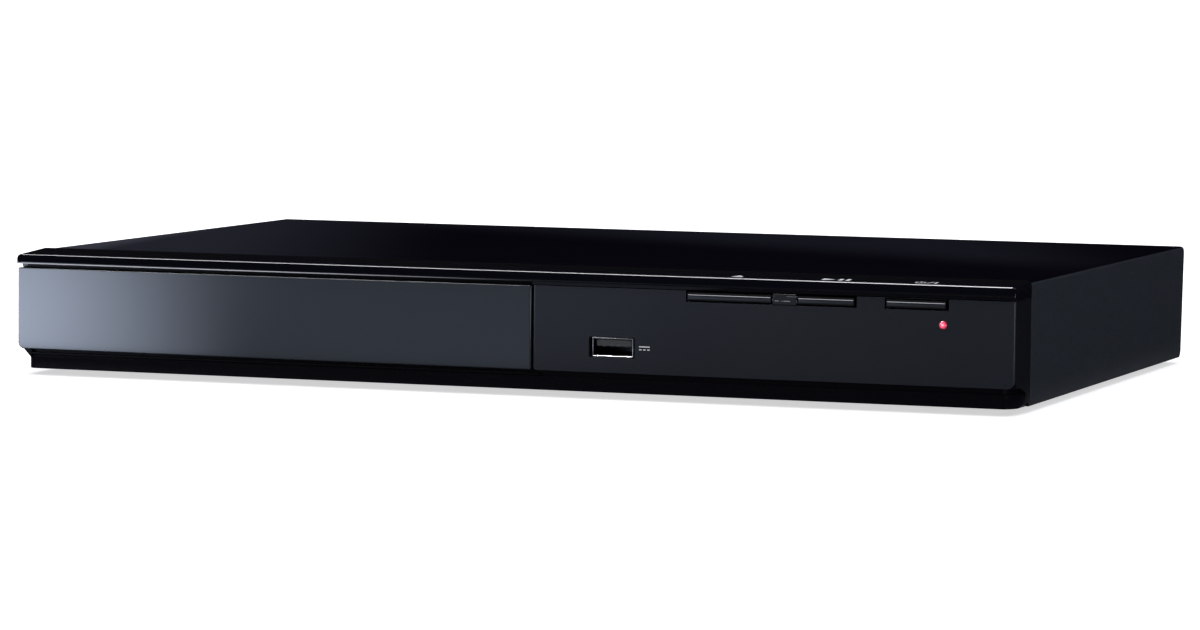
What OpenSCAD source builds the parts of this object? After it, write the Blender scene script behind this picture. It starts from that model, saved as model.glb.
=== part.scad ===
// Slim disc player with a motor-driven tray.
// Case coordinates: x = 0 at the middle, y = 0 at the front face (y grows to the rear),
// z = 0 at the underside of the chassis. in_case() moves them to the part's own origin,
// which is the middle of the outline on the surface that the feet stand on.

/* [Case] */
// Width over the steel cover
body_w = 325; // [323:1:340]
// Depth from the front face to the rear edge of the cover
body_d = 209.2; // [209:0.2:225]
// Height from the underside of the chassis to the top of the cover
body_h = 36.7; // [36.5:0.1:42]
// Steel sheet of the cover
cover_t = 0.8; // [0.6:0.1:1]
// Outer radius of the cover's long folds
fold_r = 1; // [0.9:0.1:2]
// How far the cover's rear edge leans in from top to bottom
cover_lean = 2.6; // [1:0.1:3]
// Overhang of the cover past the rear panel
eyebrow = 3.6; // [3:0.1:4.5]
// Steel sheet of the chassis and the rear panel
chassis_t = 0.8; // [0.6:0.1:1]
// Height of the rubber feet
foot_h = 2; // [1.8:0.1:4]
// Radius of the rubber feet
foot_r = 7; // [5:0.5:9]
// Feet from the sides of the case
foot_side = 26; // [22:1:34]
// Feet from the front face and from the rear panel
foot_end = 34; // [30:1:40]

/* [Front panel] */
// Depth of the moulded front panel
panel_d = 16.8; // [16:0.1:18]
// Wall of the mouldings
wall = 1.8; // [1.5:0.1:2]
// Height of the gloss trim along the top
trim_h = 4.5; // [4.2:0.1:4.8]
// How far the trim's top edge lies under the cover's top in front, and above it behind
trim_slope = [0.45, 0.55]; // [0.2:0.05:0.8]
// How far the trim stands in front of the face
trim_out = 0.8; // [0.4:0.1:1.2]
// Lower edge of the face and the tray door
face_bottom = 6.3; // [5.8:0.1:7]
// Thickness of the face
face_t = 2.2; // [1.8:0.1:2.4]
// Setback of the skirt under the face
skirt_set = 3; // [2.8:0.1:3.4]
// Height of the skirt
skirt_h = 4.2; // [3.9:0.1:4.4]
// How far the skirt's rounded ends reach, across and to the rear
skirt_round = [5, 10.5]; // [3:0.5:12]
// Where the cheeks' swept lower corners run out
cheek_end = 15.5; // [14:0.1:16]
// Width of the tray door
door_w = 173.2; // [166:0.1:176]
// Gap between the tray door and the face
door_gap = 0.7; // [0.6:0.1:1.2]
// Running clearance between parts that move past each other
play = 0.3; // [0.25:0.05:0.4]

/* [Controls, measured from the right side of the case] */
// Width of the eject button
eject_w = 26.5; // [22:0.1:27]
// Middle of the eject button
eject_x = 88.45; // [88.4:0.05:90]
// Width of the remote sensor window
window_w = 7.6; // [6:0.1:7.7]
// Middle of the remote sensor window
window_x = 71.05; // [71:0.05:71.1]
// Width of the play and pause button
play_w = 17.5; // [14:0.1:18]
// Middle of the play and pause button
play_x = 58.2; // [57.5:0.05:58.25]
// Width of the power button
power_w = 18.3; // [14:0.1:20]
// Middle of the power button
power_x = 30.4; // [29:0.05:33]
// Height of the buttons
button_h = 2.8; // [2.4:0.1:3.2]
// Press of a button
button_travel = 0.4; // [0.3:0.05:0.45]
// Middle of the standby lamp
lamp_x = 22.1; // [20:0.1:25]
// Radius of the standby lamp
lamp_r = 1.2; // [1:0.1:1.6]
// Middle of the USB socket
usb_x = 125.65; // [122:0.05:128]
// Middle of the USB socket above the chassis underside
usb_z = 13.95; // [13:0.05:15]

/* [Loader] */
// Radius of the well for a 12 cm disc
well_r = 60.75; // [60.3:0.05:61]
// Radius of the well for an 8 cm disc
small_well_r = 40.5; // [40.2:0.1:41.5]
// Middle of the disc behind the front face
disc_y = 71; // [70.5:0.1:72]
// Underside of the tray
tray_z = 19.5; // [19.5:0.1:20]
// Floor of the tray's disc well above its underside
tray_floor = 2; // [1.8:0.1:2.2]
// Height of the tray's rim above its underside
tray_rim = 6; // [5.4:0.1:6.2]
// Length of the tray behind the front face
tray_end = 161.5; // [160:0.5:163]
// How far the tray comes out
tray_travel = 135; // [120:1:135]
// Half width of the tray over its runners
runner_x = 65; // [64.8:0.1:65.4]
// Module of the tray's rack and its pinion
rack_m = 1; // [0.9:0.05:1]
// Teeth of the rack pinion
pinion_teeth = 17; // [16:1:18]
// Module of the reduction gears
train_m = 0.7; // [0.65:0.05:0.7]
// Teeth of the large reduction wheel
wheel_teeth = 36; // [34:2:36]
// Teeth of the small reduction pinion
small_teeth = 18; // [16:1:18]
// Backlash of all gears
backlash = 0.2; // [0.15:0.01:0.3]
// Radius of the gear posts
post_r = 1.5; // [1.3:0.1:1.7]
// Radial clearance of pins and shafts in their bores
fit = 0.06; // [0.04:0.01:0.1]
// Groove radius of the belt wheel
belt_wheel_r = 12.2; // [11:0.1:12.4]
// Groove radius of the motor pulley
belt_pulley_r = 3.3; // [3:0.1:3.6]
// Thickness of the drive belt
belt_t = 1.4; // [1.2:0.1:1.5]
// Radius of the loading motor
motor_r = 10; // [9:0.1:10]

/* [Traverse] */
// Height of the turntable's disc seat
seat_z = 22.5; // [22.5:0.1:23]
// Radius of the turntable
turntable_r = 15; // [13:0.1:15]
// Radius of the hub that centres a disc
hub_r = 7.4; // [7.3:0.05:7.45]
// Radius of the spindle motor
spindle_r = 11.5; // [10:0.1:11.5]
// Radius of the guide rods
rod_r = 1.5; // [1.3:0.1:1.6]
// Guide rods from the middle
rod_x = 22; // [21:0.1:22.4]
// Height of the guide rods and the lead screw
rod_z = 13; // [12.8:0.1:13.3]
// Lead screw from the middle
screw_x = 30; // [29.8:0.1:30.4]
// Pitch of the lead screw
screw_pitch = 3; // [2:0.5:4]
// Innermost lens position from the spindle
lens_min = 24; // [24:0.1:25]
// Travel of the pickup
lens_travel = 36; // [30:1:36]
// Tilt axis of the traverse behind the front face
hinge_y = 148; // [148:0.1:149]
// Drop of the traverse's front pin
cam_drop = 5.4; // [4.5:0.1:5.6]
// Travel of the cam slider
cam_travel = 14; // [12:0.5:15]

/* [Rear sockets] */
// Pitch of the round sockets
socket_pitch = 14; // [13.5:0.1:14.2]
// Outer radius of a round socket's sleeve
sleeve_r = 4.15; // [4:0.05:4.3]
// How far the sleeves stand out of the rear panel
sleeve_out = 8.2; // [7.5:0.1:9.5]
// Middle of the rear sockets above the chassis underside
socket_z = 15.5; // [15:0.1:16.5]
// Middle of the mains inlet from the right side
inlet_x = 27; // [24:0.5:30]
// Distance between the mains inlet's pins
inlet_pitch = 8.6; // [8.6:0.1:8.8]
// Underside of the circuit boards
board_z = 6; // [5:0.1:6.5]
// Thickness of the circuit boards
board_t = 1.6; // [1.2:0.1:1.7]

/* [Hidden] */
$fn = 48;
eps = 0.01;

// Places that several pieces share
half_w = body_w / 2;
rear_y = body_d - eyebrow;
face_y = (trim_out - rear_y - sleeve_out) / 2;
face_top = body_h - trim_h - 0.2;
trim_z = body_h - trim_h;
door_left = -half_w;
pan_x = half_w - 6.8;
door_right = door_left + door_w;
face_left = door_right + door_gap;
loader_x = door_left + door_w / 2;
inner_wall_y = skirt_set + 0.6;
loader_front = inner_wall_y + wall + 0.2;
runner_y = face_t + 3.1;
button_z = face_top - 0.4 - button_h / 2;
notch_z = button_z - button_h / 2 - 0.2;
lamp_z = button_z - 5.75;
switch_y = 6.7;
front_board_y = 10.4;
board_top = board_z + board_t;

// Loader heights and places, x from the middle of the loader
base_z = [2.6, 4.2];
side_x = runner_x + play + 0.1;
side_wall = 2;
side_top = 28;
rim_x = runner_x - 3;
ledge_x = rim_x - 0.1;
floor_z = tray_z + tray_floor;
rim_z = tray_z + tray_rim;
rack_pitch_x = rim_x - 4;
pinion_r = rack_m * pinion_teeth / 2;
gear_x = rack_pitch_x - pinion_r;
gear_y = 20.6;
train_distance = train_m * (wheel_teeth + small_teeth) / 2;
pulley_x = gear_x - train_distance;
motor_x = -20;
motor_y = gear_y - 1.8;
belt_z = [5.8, 7.4];
slider_y = [30.5, 32.5];
slider_z = [7.6, tray_z - 0.4];
slider_x = [-34, 20];
pin_z = 15.9;
pin_r = 1.5;
pin_y = [slider_y[0] - 1, 36.5];
traverse_x = 36;
traverse_z = [7.6, 10.2];
hinge_z = 9.1;
trunnion_r = 2;
slot_x = turntable_r + 3;
can_top = seat_z - 3.1;
lens_y = disc_y + lens_min;
pickup_half = 9.5;
rod_ends = [lens_y - pickup_half - 5, lens_y + lens_travel + pickup_half + 4.7];
lens_top = tray_z + 0.7;
press_z = seat_z + 0.9;

// Boards, x from the middle of the case
power_board_x = [half_w - 53.5, half_w - 4.5];
main_board_x = [half_w - 154.5, half_w - 58.5];
boards_y = [rear_y - 121.6, rear_y - 2.4];
board_hole = 4.5;
link_y = disc_y + 75;
ribbon_x = 68;
socket_count = 6;
socket_x0 = main_board_x[0] + 15;
inlet_mid = half_w - inlet_x;
usb_mid = half_w - usb_x;
usb_board_y = [6.2, 40];
usb_size = [13.1, 14, 5.7];

// Frames and simple solids
module in_case() { translate([0, face_y, foot_h]) children(); }
module in_loader() { in_case() translate([loader_x, 0, 0]) children(); }
module block(x, y, z) {
  translate([x[0], y[0], z[0]]) cube([x[1] - x[0], y[1] - y[0], z[1] - z[0]]);
}
module both_sides() {
  children();
  mirror([1, 0, 0]) children();
}
// A flat outline drawn in (y, z), (x, z) or (x, y) and raised along the third axis
module along_x(x) { translate([x[0], 0, 0]) rotate([90, 0, 90]) linear_extrude(x[1] - x[0]) children(); }
module along_y(y) { translate([0, y[1], 0]) rotate([90, 0, 0]) linear_extrude(y[1] - y[0]) children(); }
module along_z(z) { translate([0, 0, z[0]]) linear_extrude(z[1] - z[0]) children(); }
module post(r, z) { translate([0, 0, z[0]]) cylinder(r = r, h = z[1] - z[0]); }
module rod_x(r, x) { translate([x[0], 0, 0]) rotate([0, 90, 0]) cylinder(r = r, h = x[1] - x[0]); }
module rod_y(r, y) { translate([0, y[1], 0]) rotate([90, 0, 0]) cylinder(r = r, h = y[1] - y[0]); }
module rounded(x, y, r) {
  translate([x[0] + r, y[0]]) square([x[1] - x[0] - 2 * r, y[1] - y[0]]);
  translate([x[0], y[0] + r]) square([x[1] - x[0], y[1] - y[0] - 2 * r]);
  for (cx = [x[0] + r, x[1] - r], cy = [y[0] + r, y[1] - r]) translate([cx, cy]) circle(r);
}
function arc(cx, cy, r, a, b, n = 6) =
  [for (i = [0:n]) let (t = a + (b - a) * i / n) [cx + r * cos(t), cy + r * sin(t)]];
function right(x) = half_w - x;
function spread(x, w) = [right(x) - w / 2, right(x) + w / 2];

// Corner posts of a board, from its edges
module at_board_holes(x, y) {
  for (px = [x[0] + board_hole, x[1] - board_hole], py = [y[0] + board_hole, y[1] - board_hole - 14])
    translate([px, py, 0]) children();
}
module at_usb_holes() {
  for (side = [-1, 1]) translate([usb_mid + side * 9, usb_board_y[1] - 5, 0]) children();
}
module at_loader_ears() {
  for (side = [-1, 1], y = [26, 150])
    translate([loader_x + side * (side_x + side_wall + 4), y, 0]) children();
}
module at_panel_bosses() {
  for (x = [right(100.5), right(10.5)]) translate([x, 0, face_bottom + 5.7]) children();
  translate([right(44.5), 0, face_bottom + 10]) children();
}
module at_cover_screws() {
  for (x = [-half_w + 12, 4, half_w - 12]) translate([x, 0, body_h - 5.5]) children();
}
module at_sockets() {
  for (i = [0:socket_count - 1]) translate([socket_x0 + i * socket_pitch, rear_y, socket_z]) children();
}
module at_feet() {
  for (x = [-half_w + foot_side, half_w - foot_side], y = [foot_end, rear_y - foot_end])
    translate([x, y, 0]) children();
}

/* Case */

// Chassis pan: floor, low side flanges, board posts and cooling slots
module bottom_chassis() color("#8d9093") in_case() {
  edge_x = half_w - cover_t - 0.3;
  flange_h = 9;
  front = skirt_set + wall;
  difference() {
    union() {
      block([-pan_x, pan_x], [front, panel_d + 2], [0, chassis_t]);
      block([-edge_x, edge_x], [panel_d + 0.4, rear_y - chassis_t], [0, chassis_t]);
      both_sides() block([edge_x - chassis_t, edge_x], [panel_d + 0.4, rear_y - chassis_t], [0, flange_h]);
      at_board_holes(main_board_x, boards_y) post(3, [0, board_z]);
      at_board_holes(power_board_x, boards_y) post(3, [0, board_z]);
      at_usb_holes() post(2.6, [0, usb_z - usb_size[2] / 2 - board_t]);
      at_loader_ears() post(3.6, [0, base_z[0]]);
    }
    at_board_holes(main_board_x, boards_y) post(1.5, [-1, board_z + 1]);
    at_board_holes(power_board_x, boards_y) post(1.5, [-1, board_z + 1]);
    at_usb_holes() post(1.5, [-1, usb_z]);
    at_loader_ears() post(1.5, [-1, base_z[0] + 1]);
    for (row = [0:1], i = [0:7])
      along_z([-1, 2]) translate([power_board_x[0] + 6 + i * 5, boards_y[0] + 22 + row * 34])
        rounded([-1, 1], [-12, 12], 0.9);
  }
}

// Side outline of the cover: rear edge leaning in, rear corners rounded
module cover_side() {
  r = 2.5;
  polygon(concat(
    [[panel_d + 0.2, 0]],
    arc(body_d - cover_lean - r, r, r, -90, 0),
    arc(body_d - r, body_h - r, r, 0, 90),
    [[panel_d + 0.2, body_h]]
  ));
}
module arch(x, h, r) {
  translate([-x, 0]) square([2 * x, h - r]);
  translate([-x + r, 0]) square([2 * (x - r), h]);
  for (side = [-1, 1]) translate([side * (x - r), h - r]) circle(r);
}
// Cover: one folded sheet with a hemmed rear edge and a screw flange over the rear panel
module top_cover() color("#15161a") in_case() difference() {
  intersection() {
    along_x([-half_w, half_w]) cover_side();
    union() {
      along_y([panel_d, body_d]) difference() {
        arch(half_w, body_h, fold_r);
        translate([0, -eps]) arch(half_w - cover_t, body_h - cover_t + eps, fold_r - cover_t + 0.1);
      }
      block([-half_w + cover_t, half_w - cover_t], [rear_y, body_d], [body_h - 2 * cover_t, body_h - cover_t]);
      block([-half_w + cover_t, half_w - cover_t], [rear_y, rear_y + cover_t],
        [body_h - 9.5, body_h - cover_t]);
    }
  }
  at_cover_screws() rod_y(1.6, [rear_y - 1, rear_y + 2]);
  // Reliefs that leave three screw tabs
  for (x = [[-half_w + 24, -8], [16, half_w - 24]])
    block(x, [rear_y - 1, rear_y + 2], [body_h - 10, body_h - 6]);
}

// Rear panel with its inlet, socket holes and louvres
module rear_panel() color("#2a2b2e") in_case() difference() {
  edge_x = half_w - cover_t - 0.3;
  union() {
    block([-edge_x, edge_x], [rear_y - chassis_t, rear_y], [0, body_h - 2 * cover_t]);
    for (x = [-edge_x + 12, -20, edge_x - 52])
      block([x, x + 40], [rear_y - 9, rear_y - chassis_t], [chassis_t, 2 * chassis_t]);
  }
  at_cover_screws() rod_y(1.5, [rear_y - 2, rear_y + 1]);
  at_sockets() rod_y(5.4, [-2, 1]);
  along_y([rear_y - 2, rear_y + 1]) translate([inlet_mid, socket_z]) rounded([-9.2, 9.2], [-5.4, 5.4], 5);
  for (i = [0:15]) along_y([rear_y - 2, rear_y + 1]) translate([-half_w + 34 + i * 6, 16])
    rounded([-1.2, 1.2], [-8, 8], 1.1);
}

module rubber_feet() color("#2b2b2d") in_case() at_feet()
  rotate_extrude() polygon([
    [0, -foot_h], [foot_r - 0.6, -foot_h], [foot_r, -foot_h + 0.6], [foot_r - 0.4, 0], [0, 0]
  ]);

// Pan-head screw pointing down, its seat at z = 0
module screw(length) {
  rotate_extrude() polygon([
    [0, -length], [1.1, -length], [1.42, -length + 0.6], [1.42, 0], [2.7, 0], [2.7, 0.9], [2, 1.6], [0, 1.7]
  ]);
}
module cover_screws() color("#3a3b3e") in_case()
  at_cover_screws() translate([0, rear_y + cover_t, 0]) rotate([-90, 0, 0]) screw(4);
module board_screws() color("#b9bbbf") in_case() {
  at_board_holes(main_board_x, boards_y) translate([0, 0, board_top]) screw(5);
  at_board_holes(power_board_x, boards_y) translate([0, 0, board_top]) screw(5);
  at_usb_holes() translate([0, 0, usb_z - usb_size[2] / 2]) screw(5);
  at_loader_ears() translate([0, 0, base_z[1]]) screw(3.6);
  at_panel_bosses() translate([0, front_board_y + board_t, 0]) rotate([-90, 0, 0]) screw(6);
}

/* Front */

// Side outline of the cheeks: square at the top, their lower front corner an elliptical sweep
module cheek_side(front) {
  polygon(concat(
    [[front, trim_z], [front, face_bottom]],
    [for (a = [90:-10:0]) [front + 1 + (cheek_end - front - 1) * cos(a), face_bottom * sin(a)]],
    [[panel_d, 0], [panel_d, trim_z]]
  ));
}
// Skirt seen from above, its ends rounded back to the sides, set in by a small step
module skirt_outline(step) {
  end = half_w - step;
  side = skirt_round[0];
  y = skirt_set + skirt_round[1];
  deep = skirt_round[1] - step;
  polygon(concat(
    [for (a = [180:10:270]) [side - end + side * cos(a), y + deep * sin(a)]],
    [for (a = [-90:10:0]) [end - side + side * cos(a), y + deep * sin(a)]],
    [[end, panel_d], [-end, panel_d]]
  ));
}
module face_outline() {
  corner = 2.4;
  inner = 1.3;
  polygon(concat(
    [[face_left, face_top]],
    arc(face_left + inner, face_bottom + inner, inner, 180, 270),
    arc(half_w - corner, face_bottom + corner, corner, -90, 0),
    [[half_w, face_top]]
  ));
}
// Moulded panel: face with rounded vertical edges, cheeks, wall behind the door and skirt
module front_panel() color("#1e2025") in_case() difference() {
  back = inner_wall_y + wall;
  end_x = half_w - wall;
  shelf_z = body_h - wall - 1;
  union() {
    intersection() {
      along_y([0, face_t]) face_outline();
      along_z([0, body_h]) rounded([face_left, half_w], [0, 20], 0.7);
    }
    block([face_left, face_left + wall], [1, back], [face_bottom + 1.3, face_top]);
    block([face_left, half_w - 1], [face_t - 0.4, back], [face_bottom + 0.2, face_bottom + 0.2 + wall]);
    along_x([end_x, half_w]) cheek_side(1);
    along_x([-half_w, -end_x]) cheek_side(inner_wall_y);
    block([-end_x, end_x], [inner_wall_y, back], [trim_z, body_h - wall]);
    block([end_x - 1, end_x], [inner_wall_y, back], [trim_z - 0.5, trim_z]);
    block([-end_x, face_left + wall], [inner_wall_y, back], [face_bottom, trim_z]);
    // Skirt with its lower corners cut off, the recess over it, and the sill under the door
    intersection() {
      along_z([0, skirt_h]) skirt_outline(0);
      along_y([0, panel_d]) polygon([
        [-half_w, skirt_h], [-half_w, 1.2], [-half_w + 1, 0], [half_w - 1, 0], [half_w, 1.2], [half_w, skirt_h]
      ]);
    }
    along_z([skirt_h - 1, face_bottom + 0.6]) skirt_outline(inner_wall_y - skirt_set);
    block([-half_w + 3, face_left + 1.2], [1.7, inner_wall_y + 0.5], [skirt_h + 0.5, skirt_h + 1]);
    along_y([inner_wall_y, cheek_end]) polygon([[-half_w + 3, skirt_h - 1], [-half_w + 2, skirt_h],
      [-half_w + 0.5, face_bottom - 0.5], [-half_w + 0.5, face_bottom + 0.6], [-half_w + 3, face_bottom + 0.6]]);
    // Shelf that carries the trim and the front edge of the cover
    block([-end_x, end_x], [back - 1, panel_d + 3], [shelf_z, shelf_z + 1]);
    block([-end_x, end_x], [panel_d + 0.5, panel_d + 3], [shelf_z, body_h - cover_t]);
    at_panel_bosses() rod_y(2.8, [face_t - 0.4, front_board_y]);
  }
  block([-pan_x, pan_x], [skirt_set + wall, panel_d + 1], [-1, skirt_h - 1]);
  block([-half_w + 4.4, half_w - 4.4], [back, panel_d + 1], [-1, face_bottom + 0.7]);
  // Slot for the tray
  block([loader_x - runner_x - 1.5, loader_x + runner_x + 1.5], [0, back + 1], [tray_z - 6, rim_z + 1.5]);
  // Notches for the buttons and the sensor window, holes for the lamp and the USB socket
  block([right(eject_x) - eject_w / 2 - 0.4, right(play_x) + play_w / 2 + 0.8], [-1, face_t + 1],
    [notch_z, trim_z]);
  block([right(power_x) - power_w / 2 - 0.5, right(power_x) + power_w / 2 + 0.9], [-1, face_t + 1],
    [notch_z, face_top - 0.1]);
  translate([right(lamp_x), 0, lamp_z]) rod_y(lamp_r + 0.1, [-1, face_t + 1]);
  along_y([-1, back + 1]) translate([usb_mid, usb_z]) rounded([-7.35, 7.35], [-3.15, 3.15], 0.5);
  at_panel_bosses() rod_y(1.5, [face_t + 1, front_board_y + 1]);
}

// Front-to-back section of the gloss trim: it rises to the rear, its front edge is cut at 45 degrees
module trim_side() {
  z = body_h;
  front = z - trim_slope[0];
  polygon(concat(
    [[0, front - 0.25], [0.2, front], [panel_d - 0.1, z + trim_slope[1]], [panel_d - 0.1, z - wall],
      [wall + 0.2, z - wall], [wall + 0.2, trim_z], [0.35, trim_z], [0.35, trim_z + 0.9],
      [-trim_out + 0.35, trim_z + 1]],
    arc(-trim_out + 0.5, trim_z + 1.5, 0.5, -110, -190, 5)
  ));
}
module top_trim() color("#0c0c0e") in_case() difference() {
  end_x = half_w + 0.2;
  intersection() {
    union() {
      along_x([-end_x, end_x]) trim_side();
      both_sides() block([half_w - wall, end_x], [0.35, panel_d - 0.1], [trim_z, body_h - 1]);
    }
    along_z([trim_z - 1, body_h + 1]) rounded([-end_x, end_x], [-trim_out, 2 * panel_d], 0.8);
  }
  // Above the tray door the lower step is open, so the door has its shadow gap
  block([-end_x - 1, face_left - 0.4], [-2, inner_wall_y], [trim_z - 1, trim_z + 0.95]);
}

module tray_door() color("#23272f") in_case() {
  back = face_t + 0.1;
  bottom = face_bottom;
  top = face_top - 0.1;
  corner = 2.2;
  intersection() {
    along_y([0, back]) polygon(concat(
      [[door_right, bottom], [door_right, top], [door_left, top]],
      arc(door_left + corner, bottom + corner, corner, 180, 270)
    ));
    along_z([0, body_h]) rounded([door_left, door_right], [0, back + 2], 0.5);
  }
  // Hook ribs that the front wall of the tray sits between
  for (side = [-1, 1]) block([loader_x + side * (rim_x + 1.6) - 0.6, loader_x + side * (rim_x + 1.6) + 0.6],
    [back - 0.2, runner_y - 0.1], [tray_z - 4, rim_z]);
}

// A button: cap in the notch, retaining flange behind the face and a boss for its switch
module button(x, w) {
  flange_y = [face_t + play, face_t + play + 1];
  span = spread(x, w);
  z = [button_z - button_h / 2, button_z + button_h / 2];
  intersection() {
    block(span, [-0.15, flange_y[1]], z);
    along_x(span) translate([0, -1]) rounded([-0.15, 8], [z[0] + 1, z[1] + 1], 0.6);
  }
  block([span[0] + 0.4, span[1] - 0.4], flange_y, [z[0] - 1.7, z[1]]);
  translate([right(x), 0, button_z - 1]) rod_y(1.5, [flange_y[0], switch_y - play - button_travel]);
}
module eject_button() color("#22242a") in_case() button(eject_x, eject_w);
module play_button() color("#22242a") in_case() button(play_x, play_w);
module power_button() color("#22242a") in_case() button(power_x, power_w);

module sensor_window() color("#3a1d24") in_case() {
  x = spread(window_x, window_w);
  block(x, [-0.2, face_t + 2], [notch_z, face_top]);
  block(x, [face_t, face_t + 1], [notch_z - 1.5, face_top]);
}
module lamp_lens() color("#f05a78") in_case() translate([right(lamp_x), 0, lamp_z]) {
  rotate([-90, 0, 0]) rotate_extrude() polygon(concat(
    [[0, face_t + 3]], [[lamp_r - 0.2, face_t + 3], [lamp_r - 0.2, face_t + 1], [lamp_r + 0.8, face_t + 1],
      [lamp_r + 0.8, face_t], [lamp_r, face_t], [lamp_r, 0]],
    [for (a = [20:20:80]) [lamp_r * cos(a), -0.4 * sin(a)]], [[0, -0.4]]
  ));
}
module front_board() color("#7d6a34") in_case() difference() {
  block([right(106), right(4.5)], [front_board_y, front_board_y + board_t], [face_bottom + 2, face_top - 1]);
  at_panel_bosses() rod_y(1.5, [front_board_y - 1, front_board_y + 3]);
}
module tact_switches() color("#55575c") in_case() for (x = [eject_x, play_x, power_x])
  translate([right(x), 0, button_z - 1]) {
    block([-3, 3], [switch_y + 0.6, front_board_y], [-3, 3]);
    rod_y(1.7, [switch_y, switch_y + 1]);
  }
module infrared_receiver() color("#17181b") in_case() translate([right(window_x), 0, button_z - 1.5]) {
  block([-3, 3], [face_t + 4.6, front_board_y], [-3.4, 3.2]);
  rotate([90, 0, 0]) translate([0, 0, -face_t - 4.8]) cylinder(r1 = 2.6, r2 = 1.8, h = 2.2);
}
module standby_lamp() color("#ff8d9e") in_case() translate([right(lamp_x), 0, lamp_z]) {
  rod_y(1.5, [face_t + 3.3, front_board_y - 1]);
  rod_y(1.9, [front_board_y - 2.2, front_board_y]);
}
module usb_shell() color("#b8bcc2") in_case() translate([usb_mid, 0.9, usb_z]) difference() {
  sheet = 0.3;
  block([-usb_size[0] / 2, usb_size[0] / 2], [0, usb_size[1]], [-usb_size[2] / 2, usb_size[2] / 2]);
  block([-usb_size[0] / 2 + sheet, usb_size[0] / 2 - sheet], [-1, usb_size[1] - 1.2],
    [-usb_size[2] / 2 + sheet, usb_size[2] / 2 - sheet]);
  // Windows under the grip springs
  for (x = [-3.4, 3.4]) block([x - 1.2, x + 1.2], [3, 9], [0, 4]);
}
module usb_tongue() color("#e8e8e4") in_case() translate([usb_mid, 0.9, usb_z]) {
  block([-5.6, 5.6], [1.4, usb_size[1] - 1.2], [0.3, 2.1]);
  for (x = [-3.5, -1, 1, 3.5]) block([x - 0.45, x + 0.45], [2, usb_size[1] - 2], [0.05, 0.3]);
}
module usb_board() color("#2f6b45") in_case() difference() {
  z = usb_z - usb_size[2] / 2;
  block([usb_mid - 13, usb_mid + 13], usb_board_y, [z - board_t, z]);
  at_usb_holes() post(1.5, [0, 20]);
}

/* Boards and rear sockets */

module board(x) difference() {
  block(x, boards_y, [board_z, board_top]);
  at_board_holes(x, boards_y) post(1.5, [0, 20]);
}
module main_board() color("#2c6a44") in_case() board(main_board_x);
module power_board() color("#8a7440") in_case() board(power_board_x);
module on_main(x, y) { translate([main_board_x[0] + x, boards_y[0] + y, board_top]) children(); }
module on_power(x, y) { translate([power_board_x[0] + x, boards_y[0] + y, board_top]) children(); }

// Decoder with its finned cooler, memories and drivers
module main_chips() color("#1b1b1d") in_case() {
  on_main(46, 52) {
    block([-14, 14], [-14, 14], [0, 1.6]);
    for (i = [0:8]) block([-11, 11], [-11 + i * 2.6, -9.8 + i * 2.6], [3.2, 9]);
    block([-11, 11], [-11, 11], [1.6, 3.4]);
  }
  on_main(72, 40) block([-6, 6], [-9, 9], [0, 1.2]);
  on_main(22, 34) block([-7, 7], [-5, 5], [0, 1.4]);
  on_main(76, 76) block([-4, 4], [-3, 3], [0, 1.4]);
}
module board_connectors() color("#e6e2d6") in_case() {
  on_main(2.6, link_y - boards_y[0]) block([-2, 3], [-13, 13], [0, 5.4]);
  on_main(ribbon_x, 3.4) block([-13, 13], [-2.6, 2.6], [0, 5.4]);
  on_main(92, 44) block([-3, 3], [-9, 9], [0, 8]);
  on_power(3.6, 44) block([-3, 3], [-9, 9], [0, 8]);
}
module board_capacitors() color("#26324d") in_case() {
  for (spot = [[20, 84], [34, 84], [62, 84], [88, 72], [88, 84], [64, 22], [84, 24]])
    on_main(spot[0], spot[1]) post(3.2, [0, 9]);
  for (spot = [[14, 32], [14, 51], [26, 32], [38, 32]]) on_power(spot[0], spot[1]) post(4.6, [0, 14]);
}
module av_socket_block() color("#1a1a1c") in_case() difference() {
  x = [socket_x0 - 7, socket_x0 + (socket_count - 1) * socket_pitch + 7];
  union() {
    block(x, [rear_y - 15, rear_y - chassis_t], [board_top, socket_z + 6.5]);
    at_sockets() rod_y(5.2, [-chassis_t - 1, 0.9]);
  }
  at_sockets() rod_y(3.7, [-10, 1]);
}
// Metal sleeves of the round sockets, closed at the back
module av_sleeves() color("#c9cacc") in_case() at_sockets() rotate([-90, 0, 0]) rotate_extrude()
  polygon([
    [2.2, -9.5], [3.6, -9.5], [3.6, 0.9], [sleeve_r, 0.9], [sleeve_r, sleeve_out - 0.3],
    [sleeve_r - 0.3, sleeve_out], [3.3, sleeve_out], [3.3, -8.9], [2.2, -8.9]
  ]);
// Coloured insulator of one round socket with the bore for the plug's pin
module insert(i) in_case() translate([socket_x0 + i * socket_pitch, rear_y, socket_z]) rotate([-90, 0, 0])
  difference() {
    post(3.25, [-8.8, 6.6]);
    post(1.65, [-6, 10]);
    rotate_extrude() polygon([[2.45, 1.5], [3.3, 1.5], [3.3, 7], [2.45, 7]]);
  }
module insert_green() color("#2d9e4f") insert(0);
module insert_blue() color("#2f56c4") insert(1);
module insert_red() color("#c22d2d") {
  insert(2);
  insert(5);
}
module insert_yellow() color("#e4c22a") insert(3);
module insert_white() color("#e9e9e6") insert(4);

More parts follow.
